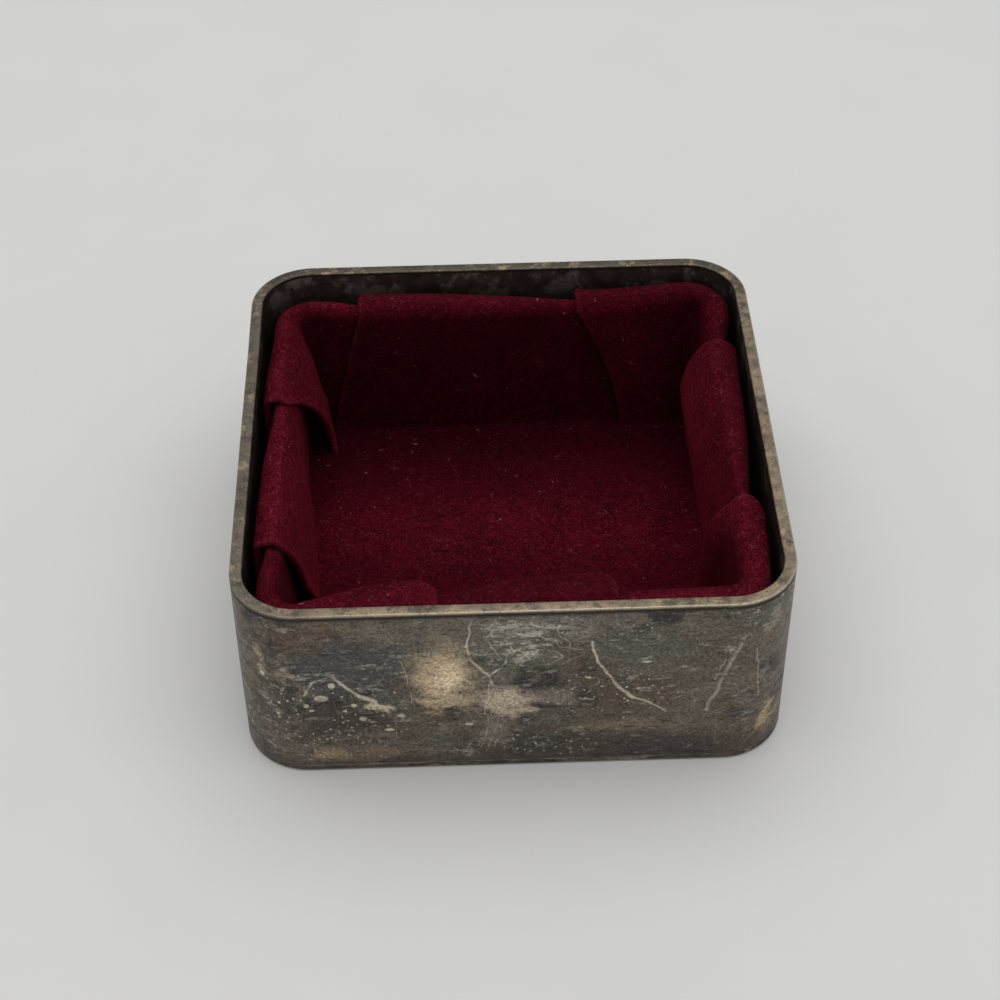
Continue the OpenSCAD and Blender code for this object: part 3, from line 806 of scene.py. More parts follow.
def velvet():
    """Wine-red velvet with a short nap, with lint and dust. Its folds are worn paler at their edges and crests, with a
    painted sheen there, and a painted light and shade per fold darkens its faces and the floor deep in the box and
    lightens its crests.
    """
    settings = bpy.context.scene.stamp_box_velvet
    name = "wine_velvet"
    if name in bpy.data.materials:
        return bpy.data.materials[name]
    material, tree, shader = new_material(name)
    places = object_places(tree)
    nap = tree.nodes.new("ShaderNodeGroup")
    nap.node_tree = nap_group()
    tree.links.new(places, nap.inputs["Vector"])
    shade, height = nap.outputs
    # Painted light and shade: a factor on the colour for each part of each fold, lighter on crests and darker on faces
    # and deep in the box
    light_and_shade = put(tree, "ShaderNodeAttribute", attribute_name="painted_light_and_shade", attribute_type="GEOMETRY").outputs["Fac"]
    open_pile = spread(tree, light_and_shade, 0.4, 1.2, 0.6, 1.0)
    lit = maths(tree, "MULTIPLY_ADD", maths(tree, "SUBTRACT", spread(tree, shade, 0.41, 0.59), 0.5), open_pile, 0.48)
    colour = blend_colour(tree, lit, settings.shade, settings.colour)
    # Paler at the laps' edges and along the crests: worn pile together with a painted sheen
    worn = put(tree, "ShaderNodeAttribute", attribute_name="fold_wear_and_sheen", attribute_type="GEOMETRY").outputs["Fac"]
    pale = maths(tree, "MULTIPLY", worn, spread(tree, height, 0.38, 0.62, 0.25, 0.85))
    colour = blend_colour(tree, maths(tree, "MULTIPLY", pale, 0.45), colour, (0.19, 0.020, 0.034))
    # The painted light and shade multiplies the colour
    colour = blend_colour(tree, 1.0, colour, light_and_shade, "MULTIPLY")
    specks = use_group(tree, spots_group(), Vector=places, Scale=1250.0, Radius=0.13, Share=0.05)
    dust = use_group(tree, spots_group(), Vector=vmaths(tree, "ADD", places, (0.3, 0.7, 0.1)),
                     Scale=3400.0, Radius=0.36, Share=0.22)
    tips = use_group(tree, fibre_group(), Vector=vmaths(tree, "ADD", places, (0.1, 0.2, 0.5)),
                     Scale=2300.0, Width=0.05, Share=0.45)
    fibres = use_group(tree, fibre_group(), Vector=places, Scale=1100.0, Width=0.014, Share=0.05)
    woolly = maths(tree, "MULTIPLY", maths(tree, "MAXIMUM", dust, tips), spread(tree, light_and_shade, 0.5, 1.35, 0.10, 0.42))
    colour = blend_colour(tree, woolly, colour, (0.290, 0.045, 0.070))
    lint = maths(tree, "MAXIMUM", maths(tree, "MULTIPLY", specks, 0.85), maths(tree, "MULTIPLY", fibres, 0.32))
    colour = blend_colour(tree, lint, colour, settings.lint)
    tree.links.new(colour, shader.inputs["Base Color"])
    shader.inputs["Roughness"].default_value = 0.95
    shader.inputs["Specular IOR Level"].default_value = 0.03
    shader.inputs["Sheen Weight"].default_value = 0.13
    shader.inputs["Sheen Roughness"].default_value = 0.22
    shader.inputs["Sheen Tint"].default_value = (0.62, 0.04, 0.09, 1)
    bump = put(tree, "ShaderNodeBump", {"Strength": 0.85, "Distance": 0.00014, "Height": height})
    tree.links.new(bump.outputs[0], shader.inputs["Normal"])
    return material


def fibrous(name, light, dark, scale, rough=0.9):
    """Card or wadding: a pale ground with fine fibres."""
    if name in bpy.data.materials:
        return bpy.data.materials[name]
    material, tree, shader = new_material(name)
    places = object_places(tree)
    grain = noise_at(tree, places, scale, 5.0, 0.65)
    fibres = use_group(tree, fibre_group(), Vector=places, Scale=scale * 0.5, Width=0.02, Share=0.35)
    colour = blend_colour(tree, spread(tree, grain, 0.35, 0.65), dark, light)
    colour = blend_colour(tree, maths(tree, "MULTIPLY", fibres, 0.4), colour, dark)
    tree.links.new(colour, shader.inputs["Base Color"])
    shader.inputs["Roughness"].default_value = rough
    bump = put(tree, "ShaderNodeBump", {"Strength": 0.4, "Distance": 0.00008, "Height": grain})
    tree.links.new(bump.outputs[0], shader.inputs["Normal"])
    return material


# ---------------------------------------------------------------- velvet folds
# A fold is a sheet of velvet that runs over the card. Each is laid out in the frame of the wall
# that it laps onto: a place runs along the wall, positive to the right as seen from outside, and
# goes on round the corner. A depth runs inwards from the lining's outermost face.

CLOTH = 0.7
LAYER = 0.8
CORNER = HALF - 6.5
ARC_R = LINING_HALF - CORNER
ARC = ARC_R * math.pi / 2
LOW_TOP = CARD_TOP + CLOTH
LAP, STEP, TUCK = 4.0, 0.4, 3.6
OUTER_HEIGHT = 1.3
BACK_POINTS, OUTER_POINTS, INNER_POINTS, FACE_POINTS = 5, 8, 18, 12

# One row for each fold: name, node, wall, whether it goes round a corner, then
# edge of its lap [place at the top, place at the floor, bend], how far that edge draws back on its
# outer and its inner side, its height at its middle, how much of the lap's section it keeps
# 2 and 4.4 mm from the edge, and the painted light and shade on its crest, a factor on its colour
# The three sections of a fold are at its lap, its middle and its tucked end: [depth of the
# shoulder, depth of the foot, height of the roll, fullness of the roll, crest, painted light and shade on its face]
FOLDS = [
    ("velvet_back", "back_velvet", 0, False, (4.9, 1.3, 1), 0.5, 0.1, 0.75, (1, 0.95), 0.79,
     ((3.9, 4.0, 1.7, 2.0, 1.9, 0.54), (3.6, 3.8, 1.6, 2.0, 1.8, 0.50), (2.9, 3.1, 1.4, 2.0, 1.8, 0.52))),
    ("velvet_left", "left_velvet", 1, False, (5.5, 13.5, 1), 0.3, 0.3, 0.75, (1, 0.95), 1.10,
     ((4.3, 5.1, 12.0, 1.9, 2.1, 1.65), (3.5, 3.3, 6.0, 1.9, 2.0, 1.5), (3.4, 3.3, 5.0, 1.9, 2.0, 0.95))),
    ("velvet_front", "front_velvet", 2, False, (10.5, 10.5, 1), 0.2, 1.6, 0.75, (1, 0.95), 0.70,
     ((6.1, 5.8, 1.6, 2.0, 2.3, 0.8), (5.1, 4.9, 1.6, 2.0, 2.1, 0.8), (4.3, 4.2, 1.4, 2.0, 2.0, 0.75))),
    ("velvet_right", "right_velvet", 3, False, (5.8, 2.4, 2), 0.8, 0.8, 0.75, (1, 0.95), 0.78,
     ((5.3, 4.0, 8.0, 2.0, 2.2, 1.7), (3.8, 3.7, 12.0, 1.9, 2.0, 1.7), (3.3, 3.4, 8.0, 1.9, 2.0, 1.5))),
    ("pleat_back_right", "back_right_pleat", 0, True, (12, 6.9, 1.6), 0.5, 0.1, 1.5, (1, 0.95), 0.66,
     ((3.9, 4.1, 1.7, 2.0, 1.9, 0.68), (2.9, 3.2, 1.2, 2.0, 1.5, 0.54), (2.8, 3.0, 1.2, 2.0, 1.5, 0.6))),
    ("pleat_back_left", "back_left_pleat", 1, True, (13.8, 3.9, 2), 0.2, 0.2, 0.4, (0.97, 0.84), 1.0,
     ((6.3, 6.5, 15.5, 1.45, 1.7, 1.25), (2.9, 3.3, 1.6, 2.0, 1.5, 0.45), (2.9, 3.1, 1.4, 2.0, 1.8, 0.55))),
    ("pleat_front_left", "front_left_pleat", 2, True, (13.3, 13.3, 1), 0.1, 2.5, 0.4, (1, 0.95), 0.88,
     ((5.5, 5.2, 1.6, 2.0, 2.2, 0.85), (2.8, 3.1, 1.2, 2.2, 1.6, 0.7), (2.8, 3.0, 1.2, 2.2, 1.6, 0.6))),
    ("pleat_front_right", "front_right_pleat", 3, True, (10.6, 16, 2), 2.2, 1.3, 0.6, (0.75, 0.2), 0.98,
     ((5.0, 5.5, 8.0, 1.9, 1.7, 1.35), (3.5, 3.3, 1.0, 2.6, 1.9, 0.22), (4.0, 3.9, 1.3, 2.0, 2.0, 0.8))),
]
# How much of its lap's section the two corner stations after the lap still have
CORNER_SHARES = {0: (0.10, 0.05), 1: (0.58, 0.24), 2: (0.18, 0.06), 3: (0.08, 0.04)}


def along(place, depth):
    """Point at a place along a wall and round its right-hand corner, at a depth."""
    r = np.maximum(0.2, ARC_R - depth)
    a = np.clip((place - CORNER) / ARC_R, 0, math.pi / 2)
    x = np.where(place <= CORNER, place, CORNER + r * np.sin(a))
    y = np.where(place <= CORNER, LINING_HALF - depth, CORNER + r * np.cos(a))
    past = place >= CORNER + ARC
    return np.where(past, LINING_HALF - depth, x), np.where(past, 2 * CORNER + ARC - place, y)


def edge_at(lap, z):
    w = np.clip((LOW_TOP - z) / (LOW_TOP - FLOOR_TOP), 0, 1)
    return CORNER - (lap[0] + (lap[1] - lap[0]) * (1 - (1 - w) ** lap[2]))


def stations_of(wall, corner, lift, kept):
    """Rows of [share of start, share of end, fixed place, lift, share of lap, share of tuck]."""
    lap = [(1, 0, 0, 1, 1, 0), (1, 0, LAP / 2, 1, kept[0], 0), (1, 0, LAP + STEP, 1, kept[1], 0)]
    tuck = [(0, 1, -LAP, 0, 0, 1), (0, 1, 0, 0, 0, 1)]
    if corner:
        first, second = CORNER_SHARES[wall]
        middle = [(0.5, 0, (LAP + STEP + CORNER) / 2, (1 + lift) / 2, (kept[1] + first) / 2, 0)]
        middle += [(0, 0, CORNER + ARC * i / 5, lift, (first, second)[i] if i < 2 else 0, 0) for i in range(6)]
        middle += [(0, 0.5, (CORNER + ARC - LAP) / 2, 0.4, 0, 0.6)]
    else:
        middle = [(0.5, 0.5, 0, lift, 0.5 * kept[1], 0), (0.2, 0.8, -0.8 * LAP, 0.4, 0.12, 0.6)]
    return np.array(lap + middle + tuck, float)


def evened(values, window):
    """Rows of values, each the mean of its neighbours."""
    padded = np.concatenate([values[:1].repeat(window, 0), values, values[-1:].repeat(window, 0)])
    total = np.cumsum(np.concatenate([np.zeros((1, values.shape[1])), padded]), 0)
    width = 2 * window + 1
    return (total[width:] - total[:-width]) / width


def fold_piece(name, wall, corner, lap, back_outer, back_inner, middle_lift, kept, crest_light, sections):
    """One fold of velvet as a closed sheet, with a rounded folded edge at its lap."""
    settings = bpy.context.scene.stamp_box_velvet
    steps = settings.rows
    cover = FOLDS[(wall + 3) % 4][4] if corner else FOLDS[4 + wall][4]
    stations = stations_of(wall, corner, middle_lift, kept)
    at = np.linspace(0, len(stations) - 1, (len(stations) - 1) * steps + 1)
    rows = np.stack([np.interp(at, range(len(stations)), stations[:, k]) for k in range(6)], 1)
    rows[:, 3:] = evened(rows[:, 3:], steps // 2)
    # Extra rows close to the lap's edge carry its rounding
    near = [(1, 0, d, *rows[0, 3:]) for d in (0, 0.03, 0.08, 0.16, 0.28, 0.45)]
    rows = np.concatenate([near, [row for row in rows if not (row[0] == 1 and row[2] < 0.6)]])
    lift, own, tucked = rows[:, 3:4], rows[:, 4:5], rows[:, 5:6]
    at_lap, at_middle, at_tuck = (np.array(section) for section in sections)
    section = at_middle + own * (at_lap - at_middle) + tucked * (at_tuck - at_middle)
    shoulder, foot, roll, fullness, crest, face_light = (section[:, k:k + 1] for k in range(6))
    out = LAYER * (1 - np.minimum(1, lift))
    top = LOW_TOP + lift * (LAYER + 0.2)
    # The section: up behind the card, over the top, round the roll and down the face
    up = np.linspace(0, 1, BACK_POINTS, endpoint=False)[None, :]
    a = np.linspace(0, math.pi / 2, OUTER_POINTS, endpoint=False)[None, :]
    b = np.linspace(0, math.pi / 2, INNER_POINTS)[None, :]
    down = np.linspace(0, 1, FACE_POINTS + 1)[None, 1:]
    rolled = top - roll
    from_edge = np.where(rows[:, 0] == 1, rows[:, 2], 9.0)
    drawn_in = out + 0.2 * tucked
    depth = np.concatenate([
        out + (drawn_in - out) * up ** 4, crest - (crest - drawn_in) * np.cos(a),
        crest + (shoulder - crest) * np.sin(b) ** (2 / fullness),
        shoulder + (foot - shoulder) * down], 1)
    z = np.concatenate([
        TURN_Z + (top - OUTER_HEIGHT - TURN_Z) * up, top - OUTER_HEIGHT * (1 - np.sin(a)),
        top - roll * (1 - np.cos(b) ** (2 / fullness)),
        rolled + (FLOOR_TOP - rolled) * down], 1)
    columns = depth.shape[1]
    turned = BACK_POINTS + OUTER_POINTS
    edge_z = np.where(np.arange(columns)[None, :] < turned, LOW_TOP, np.minimum(z, LOW_TOP))
    # The lap's corners are rounded off: its edge draws back behind the crest and over the roll
    back = np.concatenate([
        np.full((1, BACK_POINTS), back_outer), back_outer * (1 - np.sin(a)),
        back_inner * np.sin(b) ** 2, back_inner * np.ones((1, FACE_POINTS))], 1)
    if corner:
        start = edge_at(lap, edge_z) + back
        end = 2 * CORNER + ARC - edge_at(cover, edge_z) + TUCK
    else:
        start = -edge_at(lap, edge_z) + back
        end = edge_at(cover, edge_z) + TUCK
    place = rows[:, 0:1] * start + rows[:, 1:2] * end + rows[:, 2:3]
    x, y = along(place, depth)
    turn = math.radians(90 * wall)
    c, s = math.cos(turn), math.sin(turn)
    points = np.stack([c * x - s * y, s * x + c * y, z], 2)

    # Slow waves that neighbouring folds share, so that they keep clear of each other
    flat = points.reshape(-1, 3)
    waves = settings.waves / MM
    shift = np.array([noise.noise_vector(Vector(p) * 0.11) for p in flat]).reshape(points.shape)
    fine = np.array([noise.noise_vector(Vector(p) * 0.33 + Vector((7, 3, 5))) for p in flat]).reshape(points.shape)
    hold = np.clip((z - TURN_Z) / 3, 0, 1)[:, :, None] * np.clip((z - FLOOR_TOP) / 2, 0, 1)[:, :, None]
    points = points + (shift * waves + fine * waves * 0.35) * hold * np.array([1, 1, 0.8])

    # Thickness along the normals, rounded off at the lap's edge
    normal = np.cross(np.gradient(points, axis=0), np.gradient(points, axis=1))
    normal /= np.maximum(1e-9, np.linalg.norm(normal, axis=2, keepdims=True))
    cloth = settings.cloth / MM
    bead = settings.bead / MM * np.exp(-(from_edge / 0.9) ** 2)
    r = (cloth + bead) / 2
    inset = r - np.sqrt(np.maximum(0, r ** 2 - np.maximum(0, r - from_edge) ** 2))
    inset = np.minimum(inset, r * 0.96)
    if normal[len(rows) // 2, turned, 2] < 0:
        normal = -normal
    outer = points + normal * (bead - inset)[:, None, None]
    inner = points - normal * (cloth - inset)[:, None, None]
    count, n = len(rows), columns
    verts = np.concatenate([outer.reshape(-1, 3), inner.reshape(-1, 3)])
    faces = []
    for i in range(count - 1):
        for j in range(n - 1):
            o, u = i * n + j, (count + i) * n + j
            faces.append((o, o + 1, o + n + 1, o + n))
            faces.append((u, u + n, u + n + 1, u + 1))
    for i in range(count - 1):
        for j, flip in ((0, False), (n - 1, True)):
            o, u = i * n + j, (count + i) * n + j
            quad = (o, o + n, u + n, u)
            faces.append(quad[::-1] if flip else quad)
    for i, flip in ((0, True), (count - 1, False)):
        for j in range(n - 1):
            o, u = i * n + j, (count + i) * n + j
            quad = (o, o + 1, u + 1, u)
            faces.append(quad if flip else quad[::-1])
    lengths = np.concatenate([[0], np.cumsum(np.linalg.norm(np.diff(points[count // 2], axis=0), axis=1))])
    u_map = (place - place.min()) * MM
    v_map = np.repeat(lengths[None, :] * MM, count, 0)
    uvs = np.stack([u_map, v_map], 2).reshape(-1, 2)
    # Paler at the lap's edge and along the crest: worn pile with a painted sheen
    edge_wear_and_sheen = np.exp(-(from_edge / 0.4) ** 2)[:, None] * np.ones((1, n))
    crest_wear_and_sheen = np.exp(-((np.arange(n) - turned) / 4.0) ** 2)[None, :] * 0.3
    wear_and_sheen = np.clip(edge_wear_and_sheen + crest_wear_and_sheen, 0, 1).reshape(-1)
    # Painted light and shade: a factor on the colour, set for the crest and the face and blended across the roll
    nap = np.concatenate([
        np.full((count, turned), crest_light), crest_light + (face_light - crest_light) * np.sin(b) ** 2.5,
        np.repeat(face_light, FACE_POINTS, 1)], 1).reshape(-1)
    piece = grid_piece(name, verts, faces, np.tile(uvs, (2, 1)), {
        "fold_wear_and_sheen": np.tile(wear_and_sheen, 2), "painted_light_and_shade": np.tile(nap, 2)})
    recalculate(piece)
    smooth(piece, 60)
    area = sum(p.area for p in piece.data.polygons) / 2
    return piece, area, lengths[-1] * MM


# ---------------------------------------------------------------- operators

class STAMPBOX_OT_side_band(Operator):
    """Side band of the case, with rounded corners, soft dents and seam bevels"""
    bl_idname = "stampbox.side_band"
    bl_label = "Side band"

    def execute(self, context):
        s = context.scene.stamp_box_case
        band = rounded_block("case_side_band", HALF * MM, BASE_Z * MM, RIM_Z * MM, s.corner_radius, 20)
        open_ends(band)
        cut_levels(band, [(BASE_Z + (RIM_Z - BASE_Z) * i / 10) * MM for i in range(1, 10)])
        cut_walls(band, [(-20.5 + 41 * i / 14) * MM for i in range(15)])
        face_outwards(band)
        apply_modifier(band, "SOLIDIFY", thickness=s.wall, offset=-1, use_even_offset=True)
        apply_modifier(band, "BEVEL", width=s.seam_bevel, segments=2, limit_method="ANGLE",
                       angle_limit=math.radians(60))
        wander(band, s.dents, 95, 3.0)
        smooth(band)
        dress(band, side_metal(), inside_metal())
        for polygon in band.data.polygons:
            c, n = polygon.center, polygon.normal
            if n.x * c.x + n.y * c.y < 0 and abs(n.z) < 0.5:
                polygon.material_index = 1
        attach(band, "case")
        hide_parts("side_band")
        return {"FINISHED"}


class STAMPBOX_OT_base_plate(Operator):
    """Base plate with a rolled lower edge"""
    bl_idname = "stampbox.base_plate"
    bl_label = "Base plate"

    def execute(self, context):
        s = context.scene.stamp_box_case
        base = rounded_block("case_base_plate", HALF * MM, 0.0, BASE_Z * MM, s.corner_radius, 20)
        mesh = edit(base)
        for edge in mesh.edges:
            edge.select = all(abs(v.co.z) < 1e-6 for v in edge.verts)
        show(base)
        bpy.ops.mesh.bevel(offset=s.base_bevel, segments=5, profile=0.5, affect="EDGES")
        bpy.ops.mesh.select_all(action="DESELECT")
        mesh = bmesh.from_edit_mesh(base.data)
        for edge in mesh.edges:
            edge.select = all(abs(v.co.z - BASE_Z * MM) < 1e-6 for v in edge.verts)
        show(base)
        bpy.ops.mesh.bevel(offset=s.seam_bevel, segments=2, profile=0.5, affect="EDGES")
        bpy.ops.object.mode_set(mode="OBJECT")
        # A faint hollow in the underside, as on beaten plate, so that it stands on its edge
        mesh = edit(base, "FACE")
        for face in mesh.faces:
            face.select = face.normal.z < -0.99
        show(base)
        bpy.ops.mesh.inset(thickness=2.2 * MM)
        bpy.ops.mesh.inset(thickness=0.8 * MM, depth=-0.08 * MM)
        bpy.ops.object.mode_set(mode="OBJECT")
        recalculate(base)
        smooth(base)
        dress(base, base_metal())
        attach(base, "case")
        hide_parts("base_plate")
        return {"FINISHED"}


class STAMPBOX_OT_rim(Operator):
    """Flat rim wire with a rubbed bevel that carries a painted highlight"""
    bl_idname = "stampbox.rim"
    bl_label = "Rim"

    def execute(self, context):
        s = context.scene.stamp_box_case
        rim = rounded_block("case_rim", HALF * MM, RIM_Z * MM, TOP * MM, s.corner_radius, 24)
        open_ends(rim)
        cut_walls(rim, [(-20.5 + 41 * i / 16) * MM for i in range(17)])
        face_outwards(rim)
        apply_modifier(rim, "SOLIDIFY", thickness=s.rim_width, offset=-1, use_even_offset=True)
        mesh = edit(rim)
        for edge in mesh.edges:
            flat = all(abs(v.co.z - TOP * MM) < 1e-6 for v in edge.verts)
            rise = [face.normal.z for face in edge.link_faces]
            edge.select = flat and len(rise) == 2 and min(rise) < 0.1
        show(rim)
        bpy.ops.mesh.bevel(offset=s.rim_bevel, segments=4, profile=0.5, affect="EDGES")
        bpy.ops.object.mode_set(mode="OBJECT")
        mesh = edit(rim)
        for edge in mesh.edges:
            flat = all(abs(v.co.z - RIM_Z * MM) < 1e-6 for v in edge.verts)
            rise = [face.normal.z for face in edge.link_faces]
            edge.select = flat and len(rise) == 2 and max(rise) > -0.1
        show(rim)
        bpy.ops.mesh.bevel(offset=s.seam_bevel, segments=2, profile=0.5, affect="EDGES")
        bpy.ops.object.mode_set(mode="OBJECT")
        wander(rim, s.dents * 0.8, 95, 3.0)
        recalculate(rim)
        smooth(rim)
        dress(rim, rim_metal())
        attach(rim, "case")
        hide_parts("rim_wire")
        return {"FINISHED"}


class STAMPBOX_OT_folds(Operator):
    """Eight folds of velvet over the card, each lapping over the next"""
    bl_idname = "stampbox.folds"
    bl_label = "Velvet folds"

    def execute(self, context):
        for name, node, *shape in FOLDS:
            piece, area, length = fold_piece(name, *shape)
            dress(piece, velvet())
            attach(piece, "lining")
            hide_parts(node)
        return {"FINISHED"}


def ring_points(half, z, count, radius=None):
    """Points round a rounded square, anticlockwise from the middle of its right side."""
    r = max(0.05, half - CORNER) if radius is None else radius
    corner = half - r
    side, arc = 2 * corner, r * math.pi / 2
    points = []
    for i in range(count):
        s = (i / count) * 4 * (side + arc) + corner
        turn, rest = divmod(s, side + arc)
        if rest < side:
            x, y = half, rest - corner
        else:
            a = (rest - side) / r
            x, y = corner + r * math.cos(a), corner + r * math.sin(a)
        c, q = math.cos(turn * math.pi / 2), math.sin(turn * math.pi / 2)
        points.append((c * x - q * y, q * x + c * y, z))
    return points


def ringed(profile, count, corner_r):
    """Points and faces of rings at [half width, height], closed in the middle at its first and last ring."""
    widest = max(half for half, z in profile)
    points, faces = [(0.0, 0.0, profile[0][1])], []
    for half, z in profile:
        points += ring_points(half, z, count, max(0.05, half * corner_r / widest))
    for i in range(len(profile) - 1):
        a, b = 1 + i * count, 1 + (i + 1) * count
        for j in range(count):
            k = (j + 1) % count
            faces.append((a + j, b + j, b + k, a + k))
    last = 1 + (len(profile) - 1) * count
    points.append((0.0, 0.0, profile[-1][1]))
    for j in range(count):
        k = (j + 1) % count
        faces.append((0, 1 + j, 1 + k))
        faces.append((last + k, last + j, len(points) - 1))
    return points, faces


class STAMPBOX_OT_floor_pad(Operator):
    """Velvet floor pad, slightly crowned and worn, with its hem turned under the card"""
    bl_idname = "stampbox.floor_pad"
    bl_label = "Floor pad"

    def execute(self, context):
        s = context.scene.stamp_box_velvet
        count, thick = 160, 0.27
        profile = [(FLOOR_HALF * (i / 30) ** 0.9, FLOOR_TOP) for i in range(1, 30)]
        profile = [(h, z) for h, z in profile if h < FLOOR_HALF - 0.9]
        for i in range(9):
            a = math.pi / 2 * (1 - i / 8)
            profile.append((FLOOR_HALF - 0.8 + 0.8 * math.cos(a), FLOOR_TOP - 0.8 + 0.8 * math.sin(a)))
        for i in range(1, 6):
            a = -math.pi / 2 * i / 5
            profile.append((FLOOR_HALF - 0.4 + 0.4 * math.cos(a), LINING_Z + 0.4 + 0.4 * math.sin(a)))
        profile += [(FLOOR_HALF - 0.4 - 5.4 * i / 6, LINING_Z) for i in range(1, 7)]
        points, faces = [(0.0, 0.0, FLOOR_TOP)], []
        for half, z in profile:
            r = max(0.3, half * (FLOOR_HALF - CORNER) / FLOOR_HALF)
            points += ring_points(half, z, count, r)
        for j in range(count):
            faces.append((0, 1 + j, 1 + (j + 1) % count))
        for i in range(len(profile) - 1):
            a, b = 1 + i * count, 1 + (i + 1) * count
            for j in range(count):
                k = (j + 1) % count
                faces.append((a + j, b + j, b + k, a + k))
        moved = []
        for x, y, z in points:
            if z > FLOOR_TOP - 0.5:
                inside = max(0.0, 1 - max(abs(x), abs(y)) / FLOOR_HALF)
                wave = noise.noise(Vector((x * 0.12, y * 0.12, 1.7))) * 0.16
                wave += noise.noise(Vector((x * 0.4, y * 0.4, 8.1))) * 0.05
                z += min(0.0, (wave - 0.10) * min(1.0, inside * 6))
            moved.append((x, y, z))
        uvs = [(p[0] * MM, p[1] * MM) for p in moved]
        # Painted shade on the velvet floor: a factor on its colour, darker towards the back wall and towards the front
        back = [min(1.0, max(0.0, (p[1] - 2) / 18)) for p in moved]
        marks = {"fold_wear_and_sheen": [0.0] * len(moved), "painted_light_and_shade": [
            (0.90 - 0.53 * b * b * (3 - 2 * b)) * (1 - 0.28 * min(1.0, max(0.0, (4 - p[1]) / 9)))
            for b, p in zip(back, moved)]}
        pad = grid_piece("velvet_floor", moved, faces, uvs, marks)
        recalculate(pad)
        apply_modifier(pad, "SOLIDIFY", thickness=thick * MM, offset=-1, use_even_offset=False)
        smooth(pad, 60)
        dress(pad, velvet())
        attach(pad, "lining")
        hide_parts("floor_velvet")
        return {"FINISHED"}


class STAMPBOX_OT_wadding(Operator):
    """Sheet of wadding under the velvet floor, crowned and soft at its edge"""
    bl_idname = "stampbox.wadding"
    bl_label = "Wadding"

    def execute(self, context):
        rise, count = 0.85, 96
        profile = [(PAD_HALF * i / 16, PAD_Z + rise) for i in range(1, 16)]
        for i in range(7):
            a = math.pi / 2 * (1 - i / 6)
            profile.append((PAD_HALF - 0.5 + 0.5 * math.cos(a), PAD_Z + rise - 0.5 + 0.5 * math.sin(a)))
        profile += [(PAD_HALF, PAD_Z + 0.2), (PAD_HALF - 0.15, PAD_Z)]
        profile += [(PAD_HALF * i / 8, PAD_Z) for i in range(7, 0, -1)]
        points, faces = ringed(profile, count, PAD_HALF - CORNER)
        points = [(x, y, z + (noise.noise(Vector((x, y, 3)) * 0.3) * 0.07 - 0.07 if z > PAD_Z + 0.7 else 0))
                  for x, y, z in points]
        block = grid_piece("wadding_sheet", points, faces)
        recalculate(block)
        smooth(block, 50)
        dress(block, fibrous("cotton_wadding", (0.72, 0.69, 0.62), (0.52, 0.48, 0.42), 2600.0, 0.95))
        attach(block, "lining")
        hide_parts("floor_wadding")
        return {"FINISHED"}


class STAMPBOX_OT_card(Operator):
    """Finish of the card strip and floor card, which are the CAD model's own"""
    bl_idname = "stampbox.card"
    bl_label = "Card"

    def execute(self, context):
        card = fibrous("grey_beige_card", (0.42, 0.36, 0.27), (0.30, 0.25, 0.18), 1800.0)
        for node in ("wall_card", "floor_card"):
            dress(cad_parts[node], card)
        return {"FINISHED"}


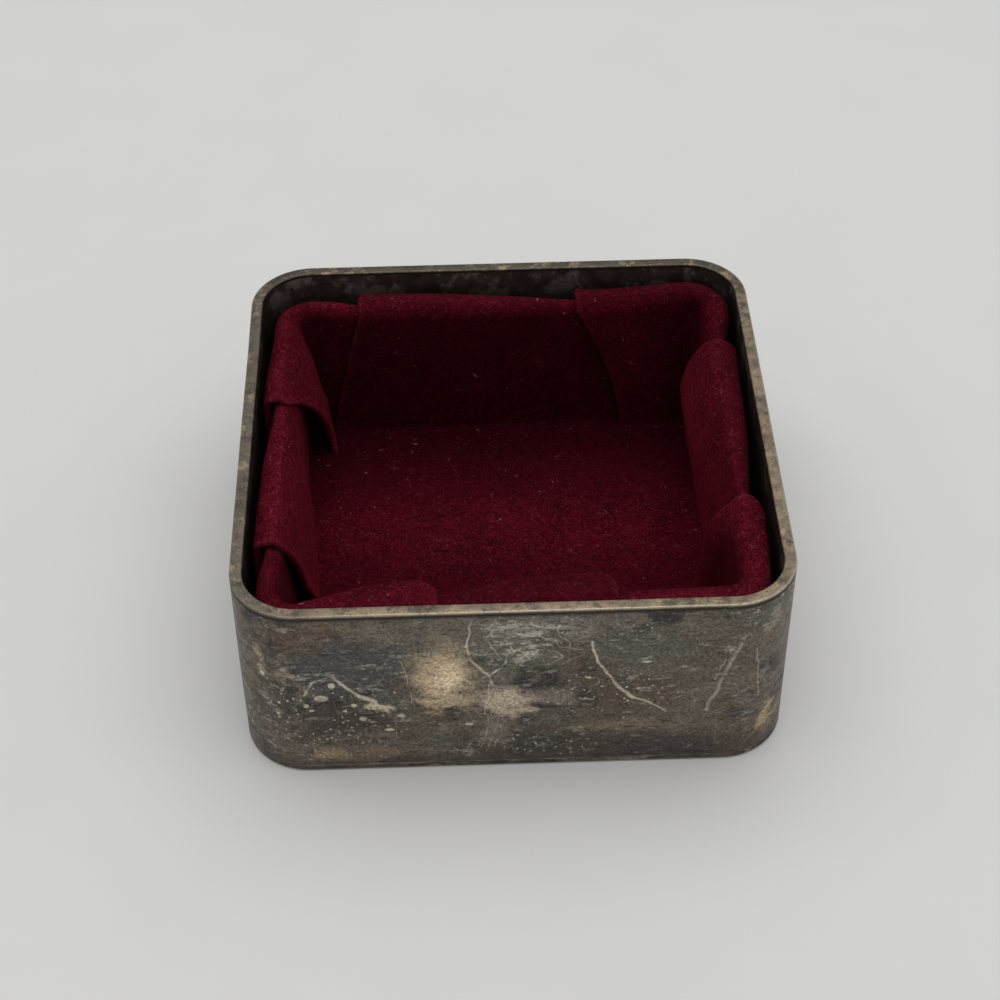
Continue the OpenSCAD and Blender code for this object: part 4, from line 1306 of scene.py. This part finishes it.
class STAMPBOX_OT_stage(Operator):
    """Pale floor, soft studio light and the camera at the photograph's angle"""
    bl_idname = "stampbox.stage"
    bl_label = "Stage"

    def execute(self, context):
        s = context.scene.stamp_box_stage
        scene = context.scene
        start_clean()
        bpy.ops.mesh.primitive_plane_add(size=3.0, location=(0, 0, -0.00002))
        floor = context.object
        floor.name = floor.data.name = "stage_floor"
        bpy.ops.object.transform_apply(location=True)
        material, tree, shader = new_material("pale_board")
        places = object_places(tree)
        tone = noise_at(tree, places, 60.0, 3.0)
        colour = blend_colour(tree, spread(tree, tone, 0.3, 0.7), [c * 0.985 for c in s.floor], s.floor)
        tree.links.new(colour, shader.inputs["Base Color"])
        shader.inputs["Roughness"].default_value = 0.7
        dress(floor, material)

        world = bpy.data.worlds.new("soft_room")
        scene.world = world
        world.use_nodes = True
        tree = world.node_tree
        ground = next(n for n in tree.nodes if n.type == "BACKGROUND")
        path = put(tree, "ShaderNodeLightPath")
        ground.inputs["Color"].default_value = (1.0, 1.0, 0.995, 1)
        seen = maths(tree, "MAXIMUM", path.outputs["Is Camera Ray"], 0.0)
        feed(tree, ground.inputs["Strength"], spread(tree, seen, 0.0, 1.0, s.sky, 0.62, False))

        lamp_data = bpy.data.lights.new("overhead_lamp", "AREA")
        lamp_data.shape, lamp_data.size, lamp_data.size_y = "RECTANGLE", 0.95, 0.80
        lamp_data.energy = s.lamp
        lamp_data.color = (1.0, 0.992, 0.98)
        lamp = bpy.data.objects.new("overhead_lamp", lamp_data)
        scene.collection.objects.link(lamp)
        lamp.location = (0.03, 0.02, 0.62)
        lamp.rotation_euler = (Vector((0, 0, 0)) - lamp.location).to_track_quat("-Z", "Y").to_euler()

        camera_data = bpy.data.cameras.new("photo_camera")
        camera_data.lens, camera_data.sensor_width = s.lens, 36.0
        camera_data.clip_start = 0.01
        camera = bpy.data.objects.new("photo_camera", camera_data)
        scene.collection.objects.link(camera)
        place = Vector((-4.695, -163.807, 163.522)) * MM
        aim = Vector((-0.405, 11.853, 0)) * MM
        back = (place - aim).normalized()
        right = Vector((0, 0, 1)).cross(back).normalized()
        up = back.cross(right)
        c, q = math.cos(math.radians(-0.66)), math.sin(math.radians(-0.66))
        right, up = right * c + up * q, up * c - right * q
        turn = Matrix((right, up, back)).transposed().to_4x4()
        camera.matrix_world = Matrix.Translation(place) @ turn
        scene.camera = camera
        scene.view_settings.view_transform = "Standard"
        return {"FINISHED"}


class STAMPBOX_PT_panel(Panel):
    """Pieces of the stamp box"""
    bl_label = "Stamp box"
    bl_idname = "STAMPBOX_PT_panel"
    bl_space_type = "VIEW_3D"
    bl_region_type = "UI"
    bl_category = "Stamp box"

    def draw(self, context):
        for settings in (context.scene.stamp_box_case, context.scene.stamp_box_velvet,
                         context.scene.stamp_box_stage):
            box = self.layout.box()
            for key in settings.bl_rna.properties.keys():
                if key not in ("rna_type", "name"):
                    box.prop(settings, key)
        for operator in OPERATORS:
            self.layout.operator(operator.bl_idname)


OPERATORS = (
    STAMPBOX_OT_side_band, STAMPBOX_OT_base_plate, STAMPBOX_OT_rim, STAMPBOX_OT_card,
    STAMPBOX_OT_wadding, STAMPBOX_OT_floor_pad, STAMPBOX_OT_folds, STAMPBOX_OT_stage,
)
SETTINGS = (STAMPBOX_case_settings, STAMPBOX_velvet_settings, STAMPBOX_stage_settings)


def register():
    for item in (*SETTINGS, *OPERATORS, STAMPBOX_PT_panel):
        bpy.utils.register_class(item)
    bpy.types.Scene.stamp_box_case = PointerProperty(type=STAMPBOX_case_settings)
    bpy.types.Scene.stamp_box_velvet = PointerProperty(type=STAMPBOX_velvet_settings)
    bpy.types.Scene.stamp_box_stage = PointerProperty(type=STAMPBOX_stage_settings)


def unregister():
    for item in reversed((*SETTINGS, *OPERATORS, STAMPBOX_PT_panel)):
        bpy.utils.unregister_class(item)
    del bpy.types.Scene.stamp_box_case
    del bpy.types.Scene.stamp_box_velvet
    del bpy.types.Scene.stamp_box_stage


def main():
    register()
    for operator in OPERATORS:
        group, name = operator.bl_idname.split(".")
        if getattr(getattr(bpy.ops, group), name)() != {"FINISHED"}:
            raise RuntimeError(operator.bl_label + " was not finished")


if __name__ == "__main__":
    main()
